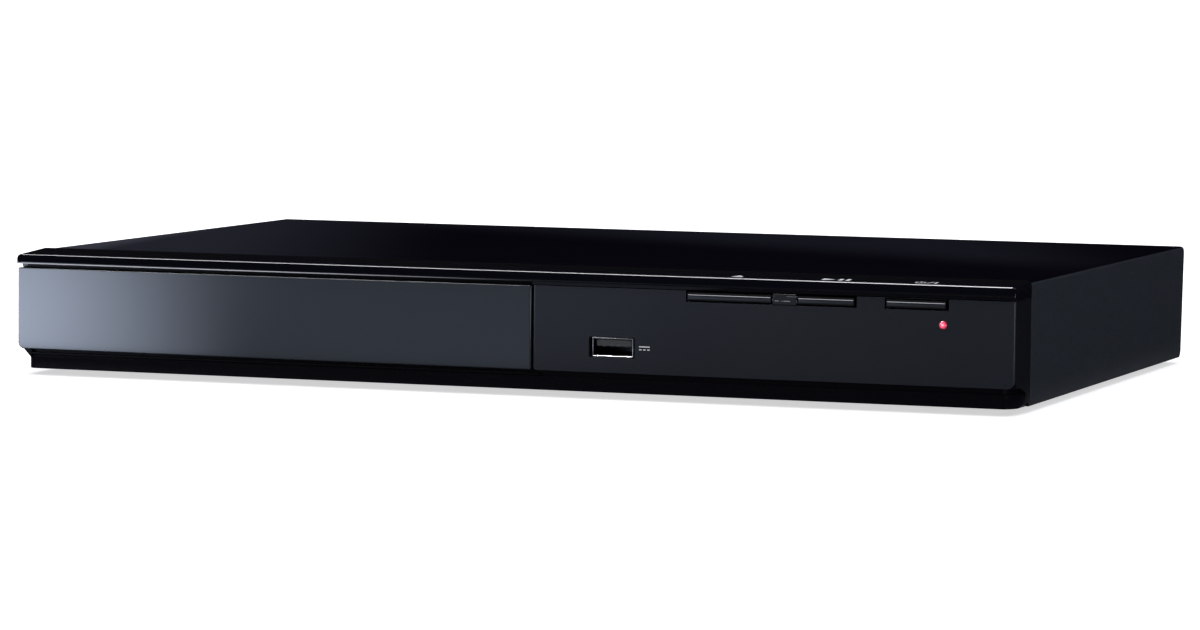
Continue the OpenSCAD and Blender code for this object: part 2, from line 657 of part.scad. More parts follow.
// Figure-of-eight mains inlet, standing on the power board
module inlet_outline(r) {
  for (side = [-1, 1]) translate([side * inlet_pitch / 2, 0]) circle(r);
  square([inlet_pitch, 2 * r - 2.4], center = true);
}
module mains_inlet() color("#141416") in_case() translate([inlet_mid, rear_y, socket_z]) difference() {
  union() {
    block([-9.6, 9.6], [-19, -chassis_t], [board_top - socket_z, 6.4]);
    along_y([-chassis_t - 1, 0.6]) rounded([-8.9, 8.9], [-5.1, 5.1], 4.8);
  }
  along_y([-12, 2]) inlet_outline(4);
}
module inlet_pins() color("#c8b27a") in_case() translate([inlet_mid, rear_y, socket_z])
  for (side = [-1, 1]) translate([side * inlet_pitch / 2, 0, 0]) rod_y(1.2, [-12, -1.6]);
module transformer() color("#c9a227") in_case() on_power(24.5, 72) {
  block([-11, 11], [-9, 9], [2, 17]);
  block([-12.5, 12.5], [-6, 6], [0, 2.2]);
  for (y = [-12, 9]) block([-13.5, 13.5], [y, y + 3], [4, 15]);
}
module bulk_capacitor() color("#20242c") in_case() on_power(14, 93.4) rotate_extrude()
  polygon([[0, 0], [8, 0], [8, 1.6], [7.6, 2.2], [8, 2.8], [8, 21.4], [7.4, 22], [0, 22]]);
module power_heat_sink() color("#a9adb2") in_case() on_power(38, 12) {
  block([-9, 9], [0, 1.8], [0, 20]);
  for (i = [0:4]) block([-9 + i * 4.2, -7.8 + i * 4.2], [-6, 1], [2, 20]);
}

// Flat cables, drawn as a thin band along a side outline
function band(top, t) = concat(top, [for (i = [len(top) - 1:-1:0]) [top[i][0], top[i][1] - t]]);
module front_ribbon() color("#e9e9ec") in_case() {
  x = main_board_x[0] + ribbon_x;
  start = front_board_y + board_t;
  stop = boards_y[0] + 3.4;
  run = stop - start;
  along_x([x - 10, x + 10]) polygon(band([
    for (i = [0:16]) let (u = i / 16) [start + run * u, board_top + 5.7 + 5 * sin(180 * u) * (1 - 0.4 * u)]
  ], 0.3));
}
module loader_ribbon() color("#e9e9ec") in_case() {
  start = loader_x + side_x - 6;
  stop = main_board_x[0];
  low = base_z[1] + 4;
  high = board_top + 5.7;
  along_y([link_y - 9, link_y + 9]) polygon(band(
    concat([
      for (i = [0:12]) let (u = i / 12)
        [start + (stop - start) * u, low + (high - low) * (1 - cos(180 * u)) / 2]
    ], [[stop + 3, high]]), 0.3));
}

/* Loader, x from its middle */

function inv(a) = tan(a) * 180 / PI - a;
// Half angle of a tooth at radius r, for base radius rb and half angle h at the pitch circle
function tooth_half(r, rb, h) = h + inv(20) - inv(acos(min(1, rb / r)));
function gear_points(m, teeth) =
  let (
    rp = m * teeth / 2,
    rb = rp * cos(20),
    root = rp - 1.25 * m,
    tip = rp + m,
    h = 90 / teeth - backlash / rp * 45 / PI,
    radii = [root, for (i = [0:4]) max(rb, root) + (tip - max(rb, root)) * i / 4]
  )
  [for (k = [0:teeth - 1], side = [-1, 1], i = [0:5])
    let (
      r = radii[side < 0 ? i : 5 - i],
      a = 360 * k / teeth + side * tooth_half(max(r, rb), rb, h)
    ) [r * cos(a), r * sin(a)]];
module gear(m, teeth, z) { along_z(z) polygon(gear_points(m, teeth)); }

// Straight rack along y with its teeth towards -x, a tooth at y = 0 and the pitch line at x = 0
module rack(from, to, z, back) {
  pitch = PI * rack_m;
  half = pitch / 4 - backlash / 4;
  slope = tan(20);
  add = rack_m;
  ded = 1.25 * rack_m;
  first = ceil(from / pitch);
  last = floor(to / pitch);
  along_z(z) polygon(concat(
    [[back, from - 2], [ded, from - 2]],
    [for (k = [first:last], c = [[ded, -half - ded * slope], [-add, -half + add * slope],
      [-add, half - add * slope], [ded, half + ded * slope]]) [c[0], k * pitch + c[1]]],
    [[ded, to + 2], [back, to + 2]]
  ));
}

// Frame: base with the traverse window, side walls with runner ledges and hooks, gear posts
module loader_frame() color("#3a3c41") in_loader() difference() {
  wall_out = side_x + side_wall;
  rear = tray_end + 4.5;
  deck = [[motor_x - 12, motor_x + 11], [motor_y - 10.8, slider_y[0] - 0.8]];
  block_x = [traverse_x + 0.6, traverse_x + 6.6];
  union() {
    block([-wall_out, wall_out], [loader_front, rear + side_wall], base_z);
    both_sides() {
      block([side_x, wall_out], [loader_front, rear + side_wall], [base_z[0], side_top]);
      block([ledge_x, side_x + 1], [loader_front, rear - 4], [tray_z - 1.9, tray_z - play]);
      for (y = [loader_front, disc_y - 34, disc_y + 40])
        block([rim_x + 0.4, side_x + 1], [y, y + 14], [floor_z + play, floor_z + play + 1.6]);
      for (y = [26, 150]) block([wall_out - 1, wall_out + 8], [y - 5, y + 5], base_z);
      // Bearing blocks of the traverse
      block(block_x, [hinge_y - 4, hinge_y + 4], [base_z[0], hinge_z + 4]);
    }
    block([-wall_out, wall_out], [rear, rear + side_wall], [base_z[0], tray_z + 4]);
    block([-wall_out, wall_out], [loader_front, loader_front + 0.9], [base_z[0], 11]);
    translate([gear_x, gear_y, 0]) post(post_r, [base_z[0], tray_z - 1]);
    translate([pulley_x, gear_y, 0]) post(post_r, [base_z[0], tray_z - 5]);
    // Deck for the loading motor, on three low walls
    block(deck[0], deck[1], [8.4, 9.2]);
    block([deck[0][0], deck[0][0] + 1.4], deck[1], [base_z[0], 9]);
    for (y = [deck[1][0], deck[1][1] - 1.2]) block([deck[0][0], motor_x], [y, y + 1.2], [base_z[0], 9]);
    // Channel for the cam slider
    block([-50, 0], [slider_y[0] - 1.5, slider_y[1] + 1.4], [base_z[0], slider_z[0] - play]);
    for (y = [slider_y[0] - 1.5, slider_y[1] + play])
      block([-50, -4], [y, y + 1.2], [base_z[0], slider_z[0] + 1.9]);
  }
  block([-46, 46], [slider_y[1] + 1.5, 141], [0, 6]);
  block([-traverse_x - 0.5, traverse_x + 0.5], [140, rear - 6], [0, 6]);
  both_sides() for (x = [54, 52]) translate([x, 84 + (x - 52) * 16, 0]) post(5, [0, 6]);
  translate([0, hinge_y, hinge_z]) rod_x(trunnion_r + fit, [-60, 60]);
  translate([motor_x, motor_y, 0]) post(4.8, [5, 10]);
  block([side_x - 1, wall_out + 1], [link_y - 11, link_y + 11], [base_z[1] + 1.6, tray_z - 4]);
  translate([-loader_x, 0, 0]) at_loader_ears() post(1.5, [0, 6]);
}

// Steel bridge that holds the clamper over the disc
module clamp_bridge() color("#9b9ea3") in_loader() difference() {
  z = [side_top, side_top + 1.2];
  y = [disc_y - 16, disc_y + 16];
  union() {
    block([-side_x - side_wall, side_x + side_wall], y, z);
    for (py = [y[0], y[1] - 1.2]) block([-side_x + 4, side_x - 4], [py, py + 1.2], [z[0], z[1] + 2.4]);
  }
  translate([0, disc_y, 0]) post(12.5, [z[0] - 1, z[1] + 1]);
  both_sides() translate([38, disc_y, 0]) along_z([z[0] - 1, z[1] + 1]) rounded([-15, 15], [-8, 8], 5);
}
// Clamper: its press ring hangs lower than a disc's top, so a raised disc lifts it off the bridge
module clamper() color("#2c2d31") in_loader() translate([0, disc_y, 0]) rotate_extrude()
  polygon([
    [0, side_top + 0.6], [0, side_top - 0.3], [hub_r + 1.2, side_top - 0.3], [hub_r + 1.8, press_z + 1],
    [hub_r + 1.8, press_z], [11.2, press_z], [12, press_z + 0.8], [12, side_top + 1.5],
    [14.5, side_top + 1.5], [14.5, side_top + 2.7], [9.6, side_top + 3], [9.6, side_top + 4.4],
    [8.2, side_top + 4.4], [8.2, side_top + 0.6]
  ]);
module clamper_magnet() color("#b7babf") in_loader() translate([0, disc_y, 0])
  difference() {
    post(8, [side_top + 0.6, side_top + 3.6]);
    post(2.4, [side_top, side_top + 4]);
  }

module loading_motor() color("#a7aab0") in_loader() translate([motor_x, motor_y, 0]) difference() {
  union() {
    rotate_extrude() polygon([[0, 9.2], [motor_r - 0.5, 9.2], [motor_r, 9.7], [motor_r, tray_z - 1],
      [motor_r - 0.6, tray_z - 0.5], [0, tray_z - 0.5]]);
    post(2.6, [8.6, 9.4]);
  }
  post(0.8 + fit, [8, 15]);
}
module motor_pulley() color("#d8d8d2") in_loader() translate([motor_x, motor_y, 0]) {
  g = belt_pulley_r;
  rotate_extrude() polygon([
    [0, 4.9], [g + 0.9, 4.9], [g + 0.9, 5.3], [g, 5.7], [g, 7.5], [g + 0.9, 7.9], [g + 0.9, 8.1], [0, 8.1]
  ]);
  post(0.8, [6, 14]);
}
// Wheel with a belt groove below and the first pinion above
module pulley_gear() color("#e4e2da") in_loader() translate([pulley_x, gear_y, 0]) difference() {
  g = belt_wheel_r;
  union() {
    rotate_extrude() polygon([
      [0, 4.5], [g - 2, 4.5], [g - 2, 4.9], [g + 0.8, 4.9], [g + 0.8, 5.3], [g, 5.7], [g, 7.5],
      [g + 0.8, 7.9], [g + 0.8, 8.3], [g - 2, 8.3], [g - 2, 6.8], [5, 6.8], [5, 9], [0, 9]
    ]);
    rotate([0, 0, 180 / small_teeth]) gear(train_m, small_teeth, [8.9, 12.8]);
  }
  post(post_r + fit, [0, 20]);
}
// Second wheel with the pinion that drives the tray's rack
module tray_gear() color("#e4e2da") in_loader() translate([gear_x, gear_y, 0]) difference() {
  union() {
    gear(train_m, wheel_teeth, [9.6, 12.6]);
    rotate([0, 0, 180 / pinion_teeth]) gear(rack_m, pinion_teeth, [12.5, tray_z - 0.6]);
    post(3.4, [base_z[1] + play, 9.7]);
  }
  post(post_r + fit, [0, 20]);
  for (a = [0:60:300]) rotate([0, 0, a + 30]) translate([9, 0, 0]) post(1.5, [9, 12.4]);
}
// Belt outline round the motor pulley and the belt wheel, grown by t
module belt_outline(t) {
  d = norm([pulley_x - motor_x, gear_y - motor_y]);
  r1 = belt_pulley_r + t;
  r2 = belt_wheel_r + t;
  a = 90 + asin((r2 - r1) / d);
  rotate(atan2(gear_y - motor_y, pulley_x - motor_x))
    polygon(concat(arc(0, 0, r1, a, 360 - a, 12), arc(d, 0, r2, -a, a, 30)));
}
module drive_belt() color("#111112") in_loader() translate([motor_x, motor_y, 0]) along_z(belt_z) difference() {
  belt_outline(0.15 + belt_t);
  belt_outline(0.15);
}
module loader_board() color("#2f6b45") in_loader() {
  block([side_x - 20, side_x - 0.6], [link_y - 14, link_y + 14], [base_z[1], base_z[1] + 1.2]);
  block([side_x - 9, side_x - 4], [link_y - 11, link_y + 11], [base_z[1] + 1, base_z[1] + 3.7]);
}

// Tray: stepped disc wells, runners, rack, and a slot open to the rear for turntable and pickup
module tray() color("#2b2d32") in_loader() difference() {
  front = face_t + 0.1;
  rim_end = disc_y + well_r + 3;
  union() {
    block([-runner_x, runner_x], [runner_y, tray_end], [tray_z, floor_z]);
    along_z([tray_z, rim_z]) rounded([-rim_x, rim_x], [front, rim_end], 2);
    block([-rim_x, rim_x], [front, front + wall], [tray_z - 4, rim_z + 0.4]);
    both_sides() block([rim_x - 2, rim_x - 0.5], [rim_end - 4, tray_end], [tray_z, floor_z + 2]);
    translate([rack_pitch_x, gear_y, 0])
      rack(-4, tray_travel + 5, [tray_z - 5.3, tray_z + 0.5], rim_x - 0.5 - rack_pitch_x);
    block([-rim_x + 0.5, -rim_x + 2], [front, tray_end], [tray_z - 3, tray_z + 0.5]);
  }
  translate([0, disc_y, 0]) {
    post(well_r, [floor_z, rim_z + 2]);
    post(small_well_r, [floor_z - 0.9, rim_z + 2]);
    post(slot_x + 2, [tray_z - 1, rim_z]);
    // Finger scallops at the four corners of the well
    for (a = [45:90:315]) rotate([0, 0, a]) translate([well_r + 2, 0, 0]) post(9, [floor_z, rim_z + 2]);
  }
  block([-slot_x, slot_x], [disc_y, tray_end + 1], [tray_z - 1, rim_z + 2]);
  block([-rim_x - 4, rim_x + 4], [disc_y + well_r - 12, tray_end + 1], [floor_z + 2.2, rim_z + 2]);
}

// Cam slider: its sloping slot lifts and lowers the front of the traverse
module cam_slider() color("#d9d7cf") in_loader() difference() {
  reach = pin_r + play;
  slope = atan(cam_drop / cam_travel);
  union() {
    block(slider_x, slider_y, slider_z);
    block([slider_x[0], slider_x[0] + 14], [slider_y[0] - 0.9, slider_y[1]],
      [slider_z[0] + 3, slider_z[0] + 5]);
  }
  along_y([slider_y[0] - 2, slider_y[1] + 1]) translate([0, pin_z]) rotate(-slope) {
    translate([0, -reach]) square([norm([cam_travel, cam_drop]), 2 * reach]);
    circle(reach);
    translate([norm([cam_travel, cam_drop]), 0]) circle(reach);
  }
  for (x = [-24, -13])
    block([x - 4, x + 4], [slider_y[0] - 2, slider_y[1] + 1], [slider_z[0] + 6.4, slider_z[1] - 1.6]);
}

// Traverse: carrier of spindle motor and pickup, hinged at the rear and lifted at the front pin
module traverse_frame() color("#5d6066") in_loader() difference() {
  bracket = rod_z + 3;
  union() {
    along_z(traverse_z) polygon([[-12, pin_y[1]], [12, pin_y[1]], [traverse_x, 60], [traverse_x, hinge_y + 4],
      [-traverse_x, hinge_y + 4], [-traverse_x, 60]]);
    block([-6, 6], [pin_y[1], pin_y[1] + 3], [traverse_z[0], pin_z + 2.2]);
    translate([0, 0, pin_z]) rod_y(pin_r, [pin_y[0], pin_y[1] + 1]);
    for (side = [-1, 1], y = [rod_ends[0], rod_ends[1] - 4])
      block([side * rod_x - 3, side * rod_x + 3], [y, y + 4], [traverse_z[0], bracket]);
    block([-screw_x - 5, -screw_x + 6], [rod_ends[0], rod_ends[0] + 2.4], [traverse_z[0], bracket]);
    block([-screw_x - 3, -screw_x + 6], [rod_ends[1] - 4, rod_ends[1]], [traverse_z[0], bracket]);
    translate([0, hinge_y, hinge_z]) rod_x(trunnion_r, [-traverse_x - 5, traverse_x + 5]);
    both_sides() block([traverse_x - 2, traverse_x], [86, hinge_y + 4], [traverse_z[0], traverse_z[1] + 2]);
  }
  block([-rod_x - 5, rod_x + 5], [rod_ends[0] + 4.3, rod_ends[1] - 4.3], [0, rod_z - 2]);
  block([-screw_x - 7, -screw_x + 6.6], [58, rod_ends[0]], [0, 30]);
  for (side = [-1, 1]) translate([side * rod_x, 0, rod_z]) rod_y(rod_r, [rod_ends[0] + 1, rod_ends[1] - 1]);
  translate([-screw_x, 0, rod_z]) rod_y(1 + fit, [rod_ends[0] - 1, rod_ends[1] + 1]);
  translate([0, disc_y, 0]) post(7, [0, 12]);
  translate([0, 48, 0]) post(5, [0, 12]);
}
module spindle_motor() color("#8f9298") in_loader() translate([0, disc_y, 0]) difference() {
  union() {
    along_z([traverse_z[1], traverse_z[1] + 1]) rounded([-13, 13], [-14, 12.4], 3);
    rotate_extrude() polygon([[0, traverse_z[1]], [spindle_r, traverse_z[1]], [spindle_r, can_top - 1.4],
      [spindle_r - 1, can_top], [0, can_top]]);
  }
  post(1 + fit, [0, can_top + 1]);
}
// Turntable: rubber-topped seat, centring hub with its lead-in cone, and the spindle
module turntable() color("#34363b") in_loader() translate([0, disc_y, 0]) {
  rotate_extrude() polygon([
    [0, seat_z - 2.5], [turntable_r - 1, seat_z - 2.5], [turntable_r, seat_z - 1.8], [turntable_r, seat_z],
    [hub_r + 1.6, seat_z], [hub_r + 1.6, seat_z - 0.5], [hub_r, seat_z - 0.5], [hub_r, seat_z + 0.9],
    [hub_r - 1.8, seat_z + 2.1], [3, seat_z + 2.1], [3, seat_z + 1.4], [0, seat_z + 1.4]
  ]);
  post(1, [traverse_z[1] + 1.5, seat_z]);
}
module guide_rods() color("#c8cacd") in_loader() for (side = [-1, 1])
  translate([side * rod_x, 0, rod_z]) rod_y(rod_r, [rod_ends[0] + 1, rod_ends[1] - 1]);
module sled_motor() color("#9fa2a8") in_loader() translate([-screw_x, 0, rod_z]) difference() {
  rotate([-90, 0, 0]) rotate_extrude() polygon([[0, rod_ends[0] - 17], [5.5, rod_ends[0] - 17],
    [6, rod_ends[0] - 16.5], [6, rod_ends[0]], [0, rod_ends[0]]]);
  rod_y(1 + fit, [rod_ends[0] - 8, rod_ends[0] + 1]);
}
// Screw with its worm grooves between two plain journals
module lead_screw() color("#b7b2a4") in_loader() translate([-screw_x, 0, rod_z]) {
  from = rod_ends[0] + 3;
  to = rod_ends[1] - 4.6;
  turns = floor((to - from - 1) / screw_pitch);
  rod_y(1, [rod_ends[0] - 7, rod_ends[1]]);
  rotate([-90, 0, 0]) rotate_extrude() polygon(concat(
    [[0, from], [1.5, from]],
    [for (i = [0:turns - 1], c = [[1.5, 0.8], [1.15, 1.1], [1.15, 1.9], [1.5, 2.2]])
      [c[0], from + c[1] + i * screw_pitch]],
    [[1.5, to], [0, to]]
  ));
}
// Pickup: sled on the two rods, with an arm to the lead screw and the lens platform
module pickup_body() color("#75787e") in_loader() translate([0, lens_y, 0]) difference() {
  y = [-pickup_half, pickup_half];
  union() {
    block([-rod_x + 3, rod_x - 3], y, [9.4, rod_z + 4]);
    block([-rod_x - 2.7, -rod_x + 4], y, [rod_z - 2.7, rod_z + 2.9]);
    block([rod_x - 4, rod_x + 2.7], [-4, 4], [rod_z - 2.7, rod_z + 2.9]);
    block([-screw_x - 1, -rod_x], [-3.5, 3.5], [rod_z + 1.9, rod_z + 3.1]);
    block([-9, 9], [-8, 8], [rod_z + 3.9, rod_z + 5.2]);
  }
  for (side = [-1, 1]) translate([side * rod_x, 0, rod_z]) rod_y(rod_r + fit, [-20, 20]);
  // The right-hand rod runs in an open fork
  block([rod_x, rod_x + 4], [-20, 20], [rod_z - rod_r - fit, rod_z + rod_r + fit]);
  block([-7, 7], [-6, 6], [rod_z + 1.5, rod_z + 8]);
  block([-rod_x + 5, rod_x - 5], [-7, 7], [9, 10.6]);
}
module pickup_lens() color("#9db7d6") in_loader() translate([0, lens_y, 0]) {
  rotate_extrude() polygon(concat(
    [[0, rod_z + 1.5], [5.4, rod_z + 1.5], [5.4, lens_top - 1.6], [3.4, lens_top - 0.9], [3, lens_top - 0.5]],
    [for (a = [60:10:90]) [6 * cos(a), lens_top - 6 + 6 * sin(a)]]));
}

bottom_chassis();
top_cover();
rear_panel();
front_panel();
top_trim();
rubber_feet();
cover_screws();
board_screws();
sensor_window();
lamp_lens();
front_board();
tact_switches();
infrared_receiver();
standby_lamp();
usb_shell();
usb_tongue();
usb_board();
main_board();
main_chips();
board_connectors();
board_capacitors();
av_socket_block();
av_sleeves();
insert_red();
insert_green();
insert_blue();
insert_yellow();
insert_white();
mains_inlet();
inlet_pins();
power_board();
transformer();
bulk_capacitor();
power_heat_sink();
front_ribbon();
loader_ribbon();
loader_frame();
clamp_bridge();
loading_motor();
drive_belt();
loader_board();
tray();
tray_door();
tray_gear();
pulley_gear();
motor_pulley();
cam_slider();
traverse_frame();
spindle_motor();
guide_rods();
sled_motor();
turntable();
pickup_body();
pickup_lens();
lead_screw();
clamper();
clamper_magnet();
eject_button();
play_button();
power_button();
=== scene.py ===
import math

import bmesh
import bpy
from mathutils import Matrix, Vector


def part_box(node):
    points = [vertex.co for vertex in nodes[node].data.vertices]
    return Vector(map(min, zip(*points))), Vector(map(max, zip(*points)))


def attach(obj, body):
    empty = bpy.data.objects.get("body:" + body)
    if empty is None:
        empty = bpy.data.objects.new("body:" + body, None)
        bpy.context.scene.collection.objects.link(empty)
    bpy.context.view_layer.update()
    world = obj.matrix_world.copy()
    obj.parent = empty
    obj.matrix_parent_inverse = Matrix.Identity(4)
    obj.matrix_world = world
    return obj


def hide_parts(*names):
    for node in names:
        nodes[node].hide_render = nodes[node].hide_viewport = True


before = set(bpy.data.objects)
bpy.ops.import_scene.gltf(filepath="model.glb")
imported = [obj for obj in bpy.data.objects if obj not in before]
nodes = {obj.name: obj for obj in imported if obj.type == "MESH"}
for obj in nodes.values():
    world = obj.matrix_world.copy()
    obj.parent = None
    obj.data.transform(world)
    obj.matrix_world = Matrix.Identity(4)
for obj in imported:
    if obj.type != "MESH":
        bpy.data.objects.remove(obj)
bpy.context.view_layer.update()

# ---------------------------------------------------------------- Camera
# Long lens at table height, in front of the right-hand corner: the front runs away
# to the left and the lid shows as a thin slanting plane.
def add_object(name, data):
    obj = bpy.data.objects.new(name, data)
    bpy.context.scene.collection.objects.link(obj)
    return obj


# In radians: turned to the left, dipped and leant over
heading, dip, lean = 0.3526, 0.0770, 0.0088
stand = (0.54265, -1.49149, 0.13955)
ahead = Vector((-math.sin(heading) * math.cos(dip), math.cos(heading) * math.cos(dip), -math.sin(dip)))
level = Vector((math.cos(heading), math.sin(heading), 0))
upright = level.cross(ahead)
right = math.cos(lean) * level + math.sin(lean) * upright
up = math.cos(lean) * upright - math.sin(lean) * level
camera = add_object("camera", bpy.data.cameras.new("camera"))
camera.matrix_world = Matrix.Translation(stand) @ Matrix((right, up, -ahead)).transposed().to_4x4()
camera.data.sensor_width = 36
camera.data.lens = 147.32
camera.data.clip_end = 60
bpy.context.scene.camera = camera
bpy.context.scene.view_settings.view_transform = "Standard"

# ---------------------------------------------------------------- Floor and light
# White table that whitens out with distance, a white surround and one wide softbox overhead.
# Cards that only gloss can see stand for the studio: dark table tone, flags and reflectors.
def new_material(name):
    material = bpy.data.materials.new(name)
    material.use_nodes = True
    material.node_tree.nodes.clear()
    return material, material.node_tree.nodes, material.node_tree.links


def card(name, corners, material, show=("glossy",)):
    """Flat card of the studio, seen by the named kinds of ray only."""
    mesh = bpy.data.meshes.new(name)
    mesh.from_pydata(corners, [], [(0, 1, 2, 3)])
    mesh.materials.append(material)
    obj = add_object(name, mesh)
    for ray in ("camera", "diffuse", "glossy", "transmission", "volume_scatter", "shadow"):
        setattr(obj, "visible_" + ray, ray in show)


def rectangle(x, y, z):
    return [(x[0], y[0], z), (x[1], y[0], z), (x[1], y[1], z), (x[0], y[1], z)]


def lit(name, colour, strength):
    """Even glow of one card."""
    material, tree, link = new_material(name)
    glow, out = tree.new("ShaderNodeEmission"), tree.new("ShaderNodeOutputMaterial")
    glow.inputs["Color"].default_value = (*colour, 1)
    glow.inputs["Strength"].default_value = strength
    link.new(glow.outputs[0], out.inputs[0])
    return material


def ramp(tree, low, high, at_low, at_high, step="SMOOTHSTEP"):
    """Node that leads a value over between two places and keeps it level beyond them."""
    fade = tree.new("ShaderNodeMapRange")
    fade.interpolation_type = step
    for socket, value in zip(("From Min", "From Max", "To Min", "To Max"), (low, high, at_low, at_high)):
        fade.inputs[socket].default_value = value
    return fade


def calculate(tree, link, operation, *terms):
    """Result of a math node on numbers and on outputs of other nodes."""
    node = tree.new("ShaderNodeMath")
    node.operation = operation
    for socket, term in zip(node.inputs, terms):
        if isinstance(term, (int, float)):
            socket.default_value = term
        else:
            link.new(term, socket)
    return node.outputs[0]


material, tree, link = new_material("table_white")
place, apart = tree.new("ShaderNodeTexCoord"), tree.new("ShaderNodeVectorMath")
apart.operation = "LENGTH"
far = ramp(tree, 0.20, 0.60, 0.58, 1.0)
paint = tree.new("ShaderNodeBsdfDiffuse")
paint.inputs["Color"].default_value = (0.80, 0.80, 0.81, 1)
glow = tree.new("ShaderNodeEmission")
both, pick = tree.new("ShaderNodeAddShader"), tree.new("ShaderNodeMixShader")
path, out = tree.new("ShaderNodeLightPath"), tree.new("ShaderNodeOutputMaterial")
link.new(place.outputs["Object"], apart.inputs[0])
link.new(apart.outputs["Value"], far.inputs["Value"])
link.new(far.outputs[0], glow.inputs["Strength"])
link.new(path.outputs["Is Camera Ray"], pick.inputs[0])
link.new(paint.outputs[0], both.inputs[0])
link.new(glow.outputs[0], both.inputs[1])
link.new(paint.outputs[0], pick.inputs[1])
link.new(both.outputs[0], pick.inputs[2])
link.new(pick.outputs[0], out.inputs[0])
card("floor", rectangle((-20, 20), (-20, 20), 0), material, ("camera", "diffuse", "transmission", "shadow"))

world = bpy.data.worlds.new("studio")
bpy.context.scene.world = world
world.use_nodes = True
tree, link = world.node_tree.nodes, world.node_tree.links
tree.clear()
fill, white = tree.new("ShaderNodeBackground"), tree.new("ShaderNodeBackground")
fill.inputs["Color"].default_value = (0.92, 0.95, 1, 1)
fill.inputs["Strength"].default_value = 0.5
path, pick = tree.new("ShaderNodeLightPath"), tree.new("ShaderNodeMixShader")
seen = calculate(tree, link, "MAXIMUM", path.outputs["Is Camera Ray"], path.outputs["Is Glossy Ray"])
seen = calculate(tree, link, "MAXIMUM", seen, path.outputs["Is Transmission Ray"])
link.new(seen, pick.inputs[0])
link.new(fill.outputs[0], pick.inputs[1])
link.new(white.outputs[0], pick.inputs[2])
link.new(pick.outputs[0], tree.new("ShaderNodeOutputWorld").inputs[0])

softbox = bpy.data.lights.new("softbox", "AREA")
softbox.shape, softbox.size, softbox.size_y, softbox.energy = "RECTANGLE", 1.7, 1.0, 13
lamp = add_object("softbox", softbox)
lamp.location = (0, -0.15, 1.3)
lamp.visible_camera = False

# Ring of dark flags round the table and a dim canopy over them
flag, cool = lit("flag_black", (0.9, 0.9, 1.0), 0.006), (0.95, 0.97, 1.0)
flags, reach, canopy_height = 24, 2.6, 2.4
for k in range(flags):
    a, b = 2 * math.pi * k / flags, 2 * math.pi * (k + 1) / flags
    here = (reach * math.cos(a), reach * math.sin(a))
    there = (reach * math.cos(b), reach * math.sin(b))
    card("flag_%02d" % k, [(*here, 0), (*there, 0), (*there, canopy_height), (*here, canopy_height)], flag)
card("canopy", rectangle((-3, 3), (-3, 3), canopy_height), lit("canopy", (0.92, 0.90, 1.0), 0.06))

# The tone of the table that gloss sees, darker behind the right side
card("table_tone", rectangle((-4, 4), (-4, 4), 0.001), lit("table_tone", cool, 0.12))
card("side_flag", rectangle((0.168, 0.95), (-0.10, 1.3), 0.003), flag)
# Two tubes overhead in front: they draw the thin lines along the upper edges
card("tube", [(-0.80, -0.66, 0.86), (0.05, -0.66, 0.86), (0.05, -0.55, 0.92), (-0.80, -0.55, 0.92)],
     lit("tube", cool, 40))
card("line_tube", [(-0.70, -0.42, 0.89), (0.02, -0.42, 0.89), (0.02, -0.33, 0.91), (-0.70, -0.33, 0.91)],
     lit("line_tube", (0.96, 0.97, 1.0), 80))
# Lower and softer one, seen by the door's edge that the trim's lip keeps from the others
card("low_tube", [(-1.2, -1.20, 0.30), (-0.52, -1.32, 0.30), (-0.52, -1.32, 0.44), (-1.2, -1.20, 0.44)],
     lit("low_tube", cool, 18))
# Card on the table at the right, seen by the upright edges
card("edge_card", [(0.20, -0.19, 0.004), (0.78, -0.46, 0.004), (0.80, -0.31, 0.004), (0.21, -0.155, 0.004)],
     lit("edge_card", cool, 14))

# Reflector on the table at the front left, fading obliquely: it draws the door's gradient
material, tree, link = new_material("reflector")
place, turn = tree.new("ShaderNodeTexCoord"), tree.new("ShaderNodeMapping")
split, glow = tree.new("ShaderNodeSeparateXYZ"), tree.new("ShaderNodeEmission")
slant, door_y, dim_x, bright_x = math.radians(25.5), -0.1057, -0.075, -0.19
turn.vector_type = "POINT"
turn.inputs["Rotation"].default_value = (0, 0, slant)
dim_end, bright_end = (x * math.cos(slant) - door_y * math.sin(slant) for x in (dim_x, bright_x))
fade = ramp(tree, dim_end, bright_end, 0.75, 13.2)
glow.inputs["Color"].default_value = (0.707, 0.803, 1.0, 1)
link.new(place.outputs["Object"], turn.inputs[0])
link.new(turn.outputs[0], split.inputs[0])
link.new(split.outputs["X"], fade.inputs["Value"])
link.new(fade.outputs[0], glow.inputs["Strength"])
link.new(glow.outputs[0], tree.new("ShaderNodeOutputMaterial").inputs[0])
card("reflector", rectangle((-0.62, 0.02), (-0.78, -0.14), 0.005), material)

# ---------------------------------------------------------------- Steel cover
# One sheet of 0.8 mm steel folded over top and sides, powder-coated a fine matt black.
# Its rear edge leans in and is hemmed; three screws hold it to the rear panel.
def colour_mix(tree):
    """Node that mixes two colours: its share, both colours and its result."""
    mix = tree.new("ShaderNodeMix")
    mix.data_type = "RGBA"
    first, second = (socket for socket in mix.inputs if socket.type == "RGBA")
    return mix.inputs[0], first, second, next(socket for socket in mix.outputs if socket.type == "RGBA")


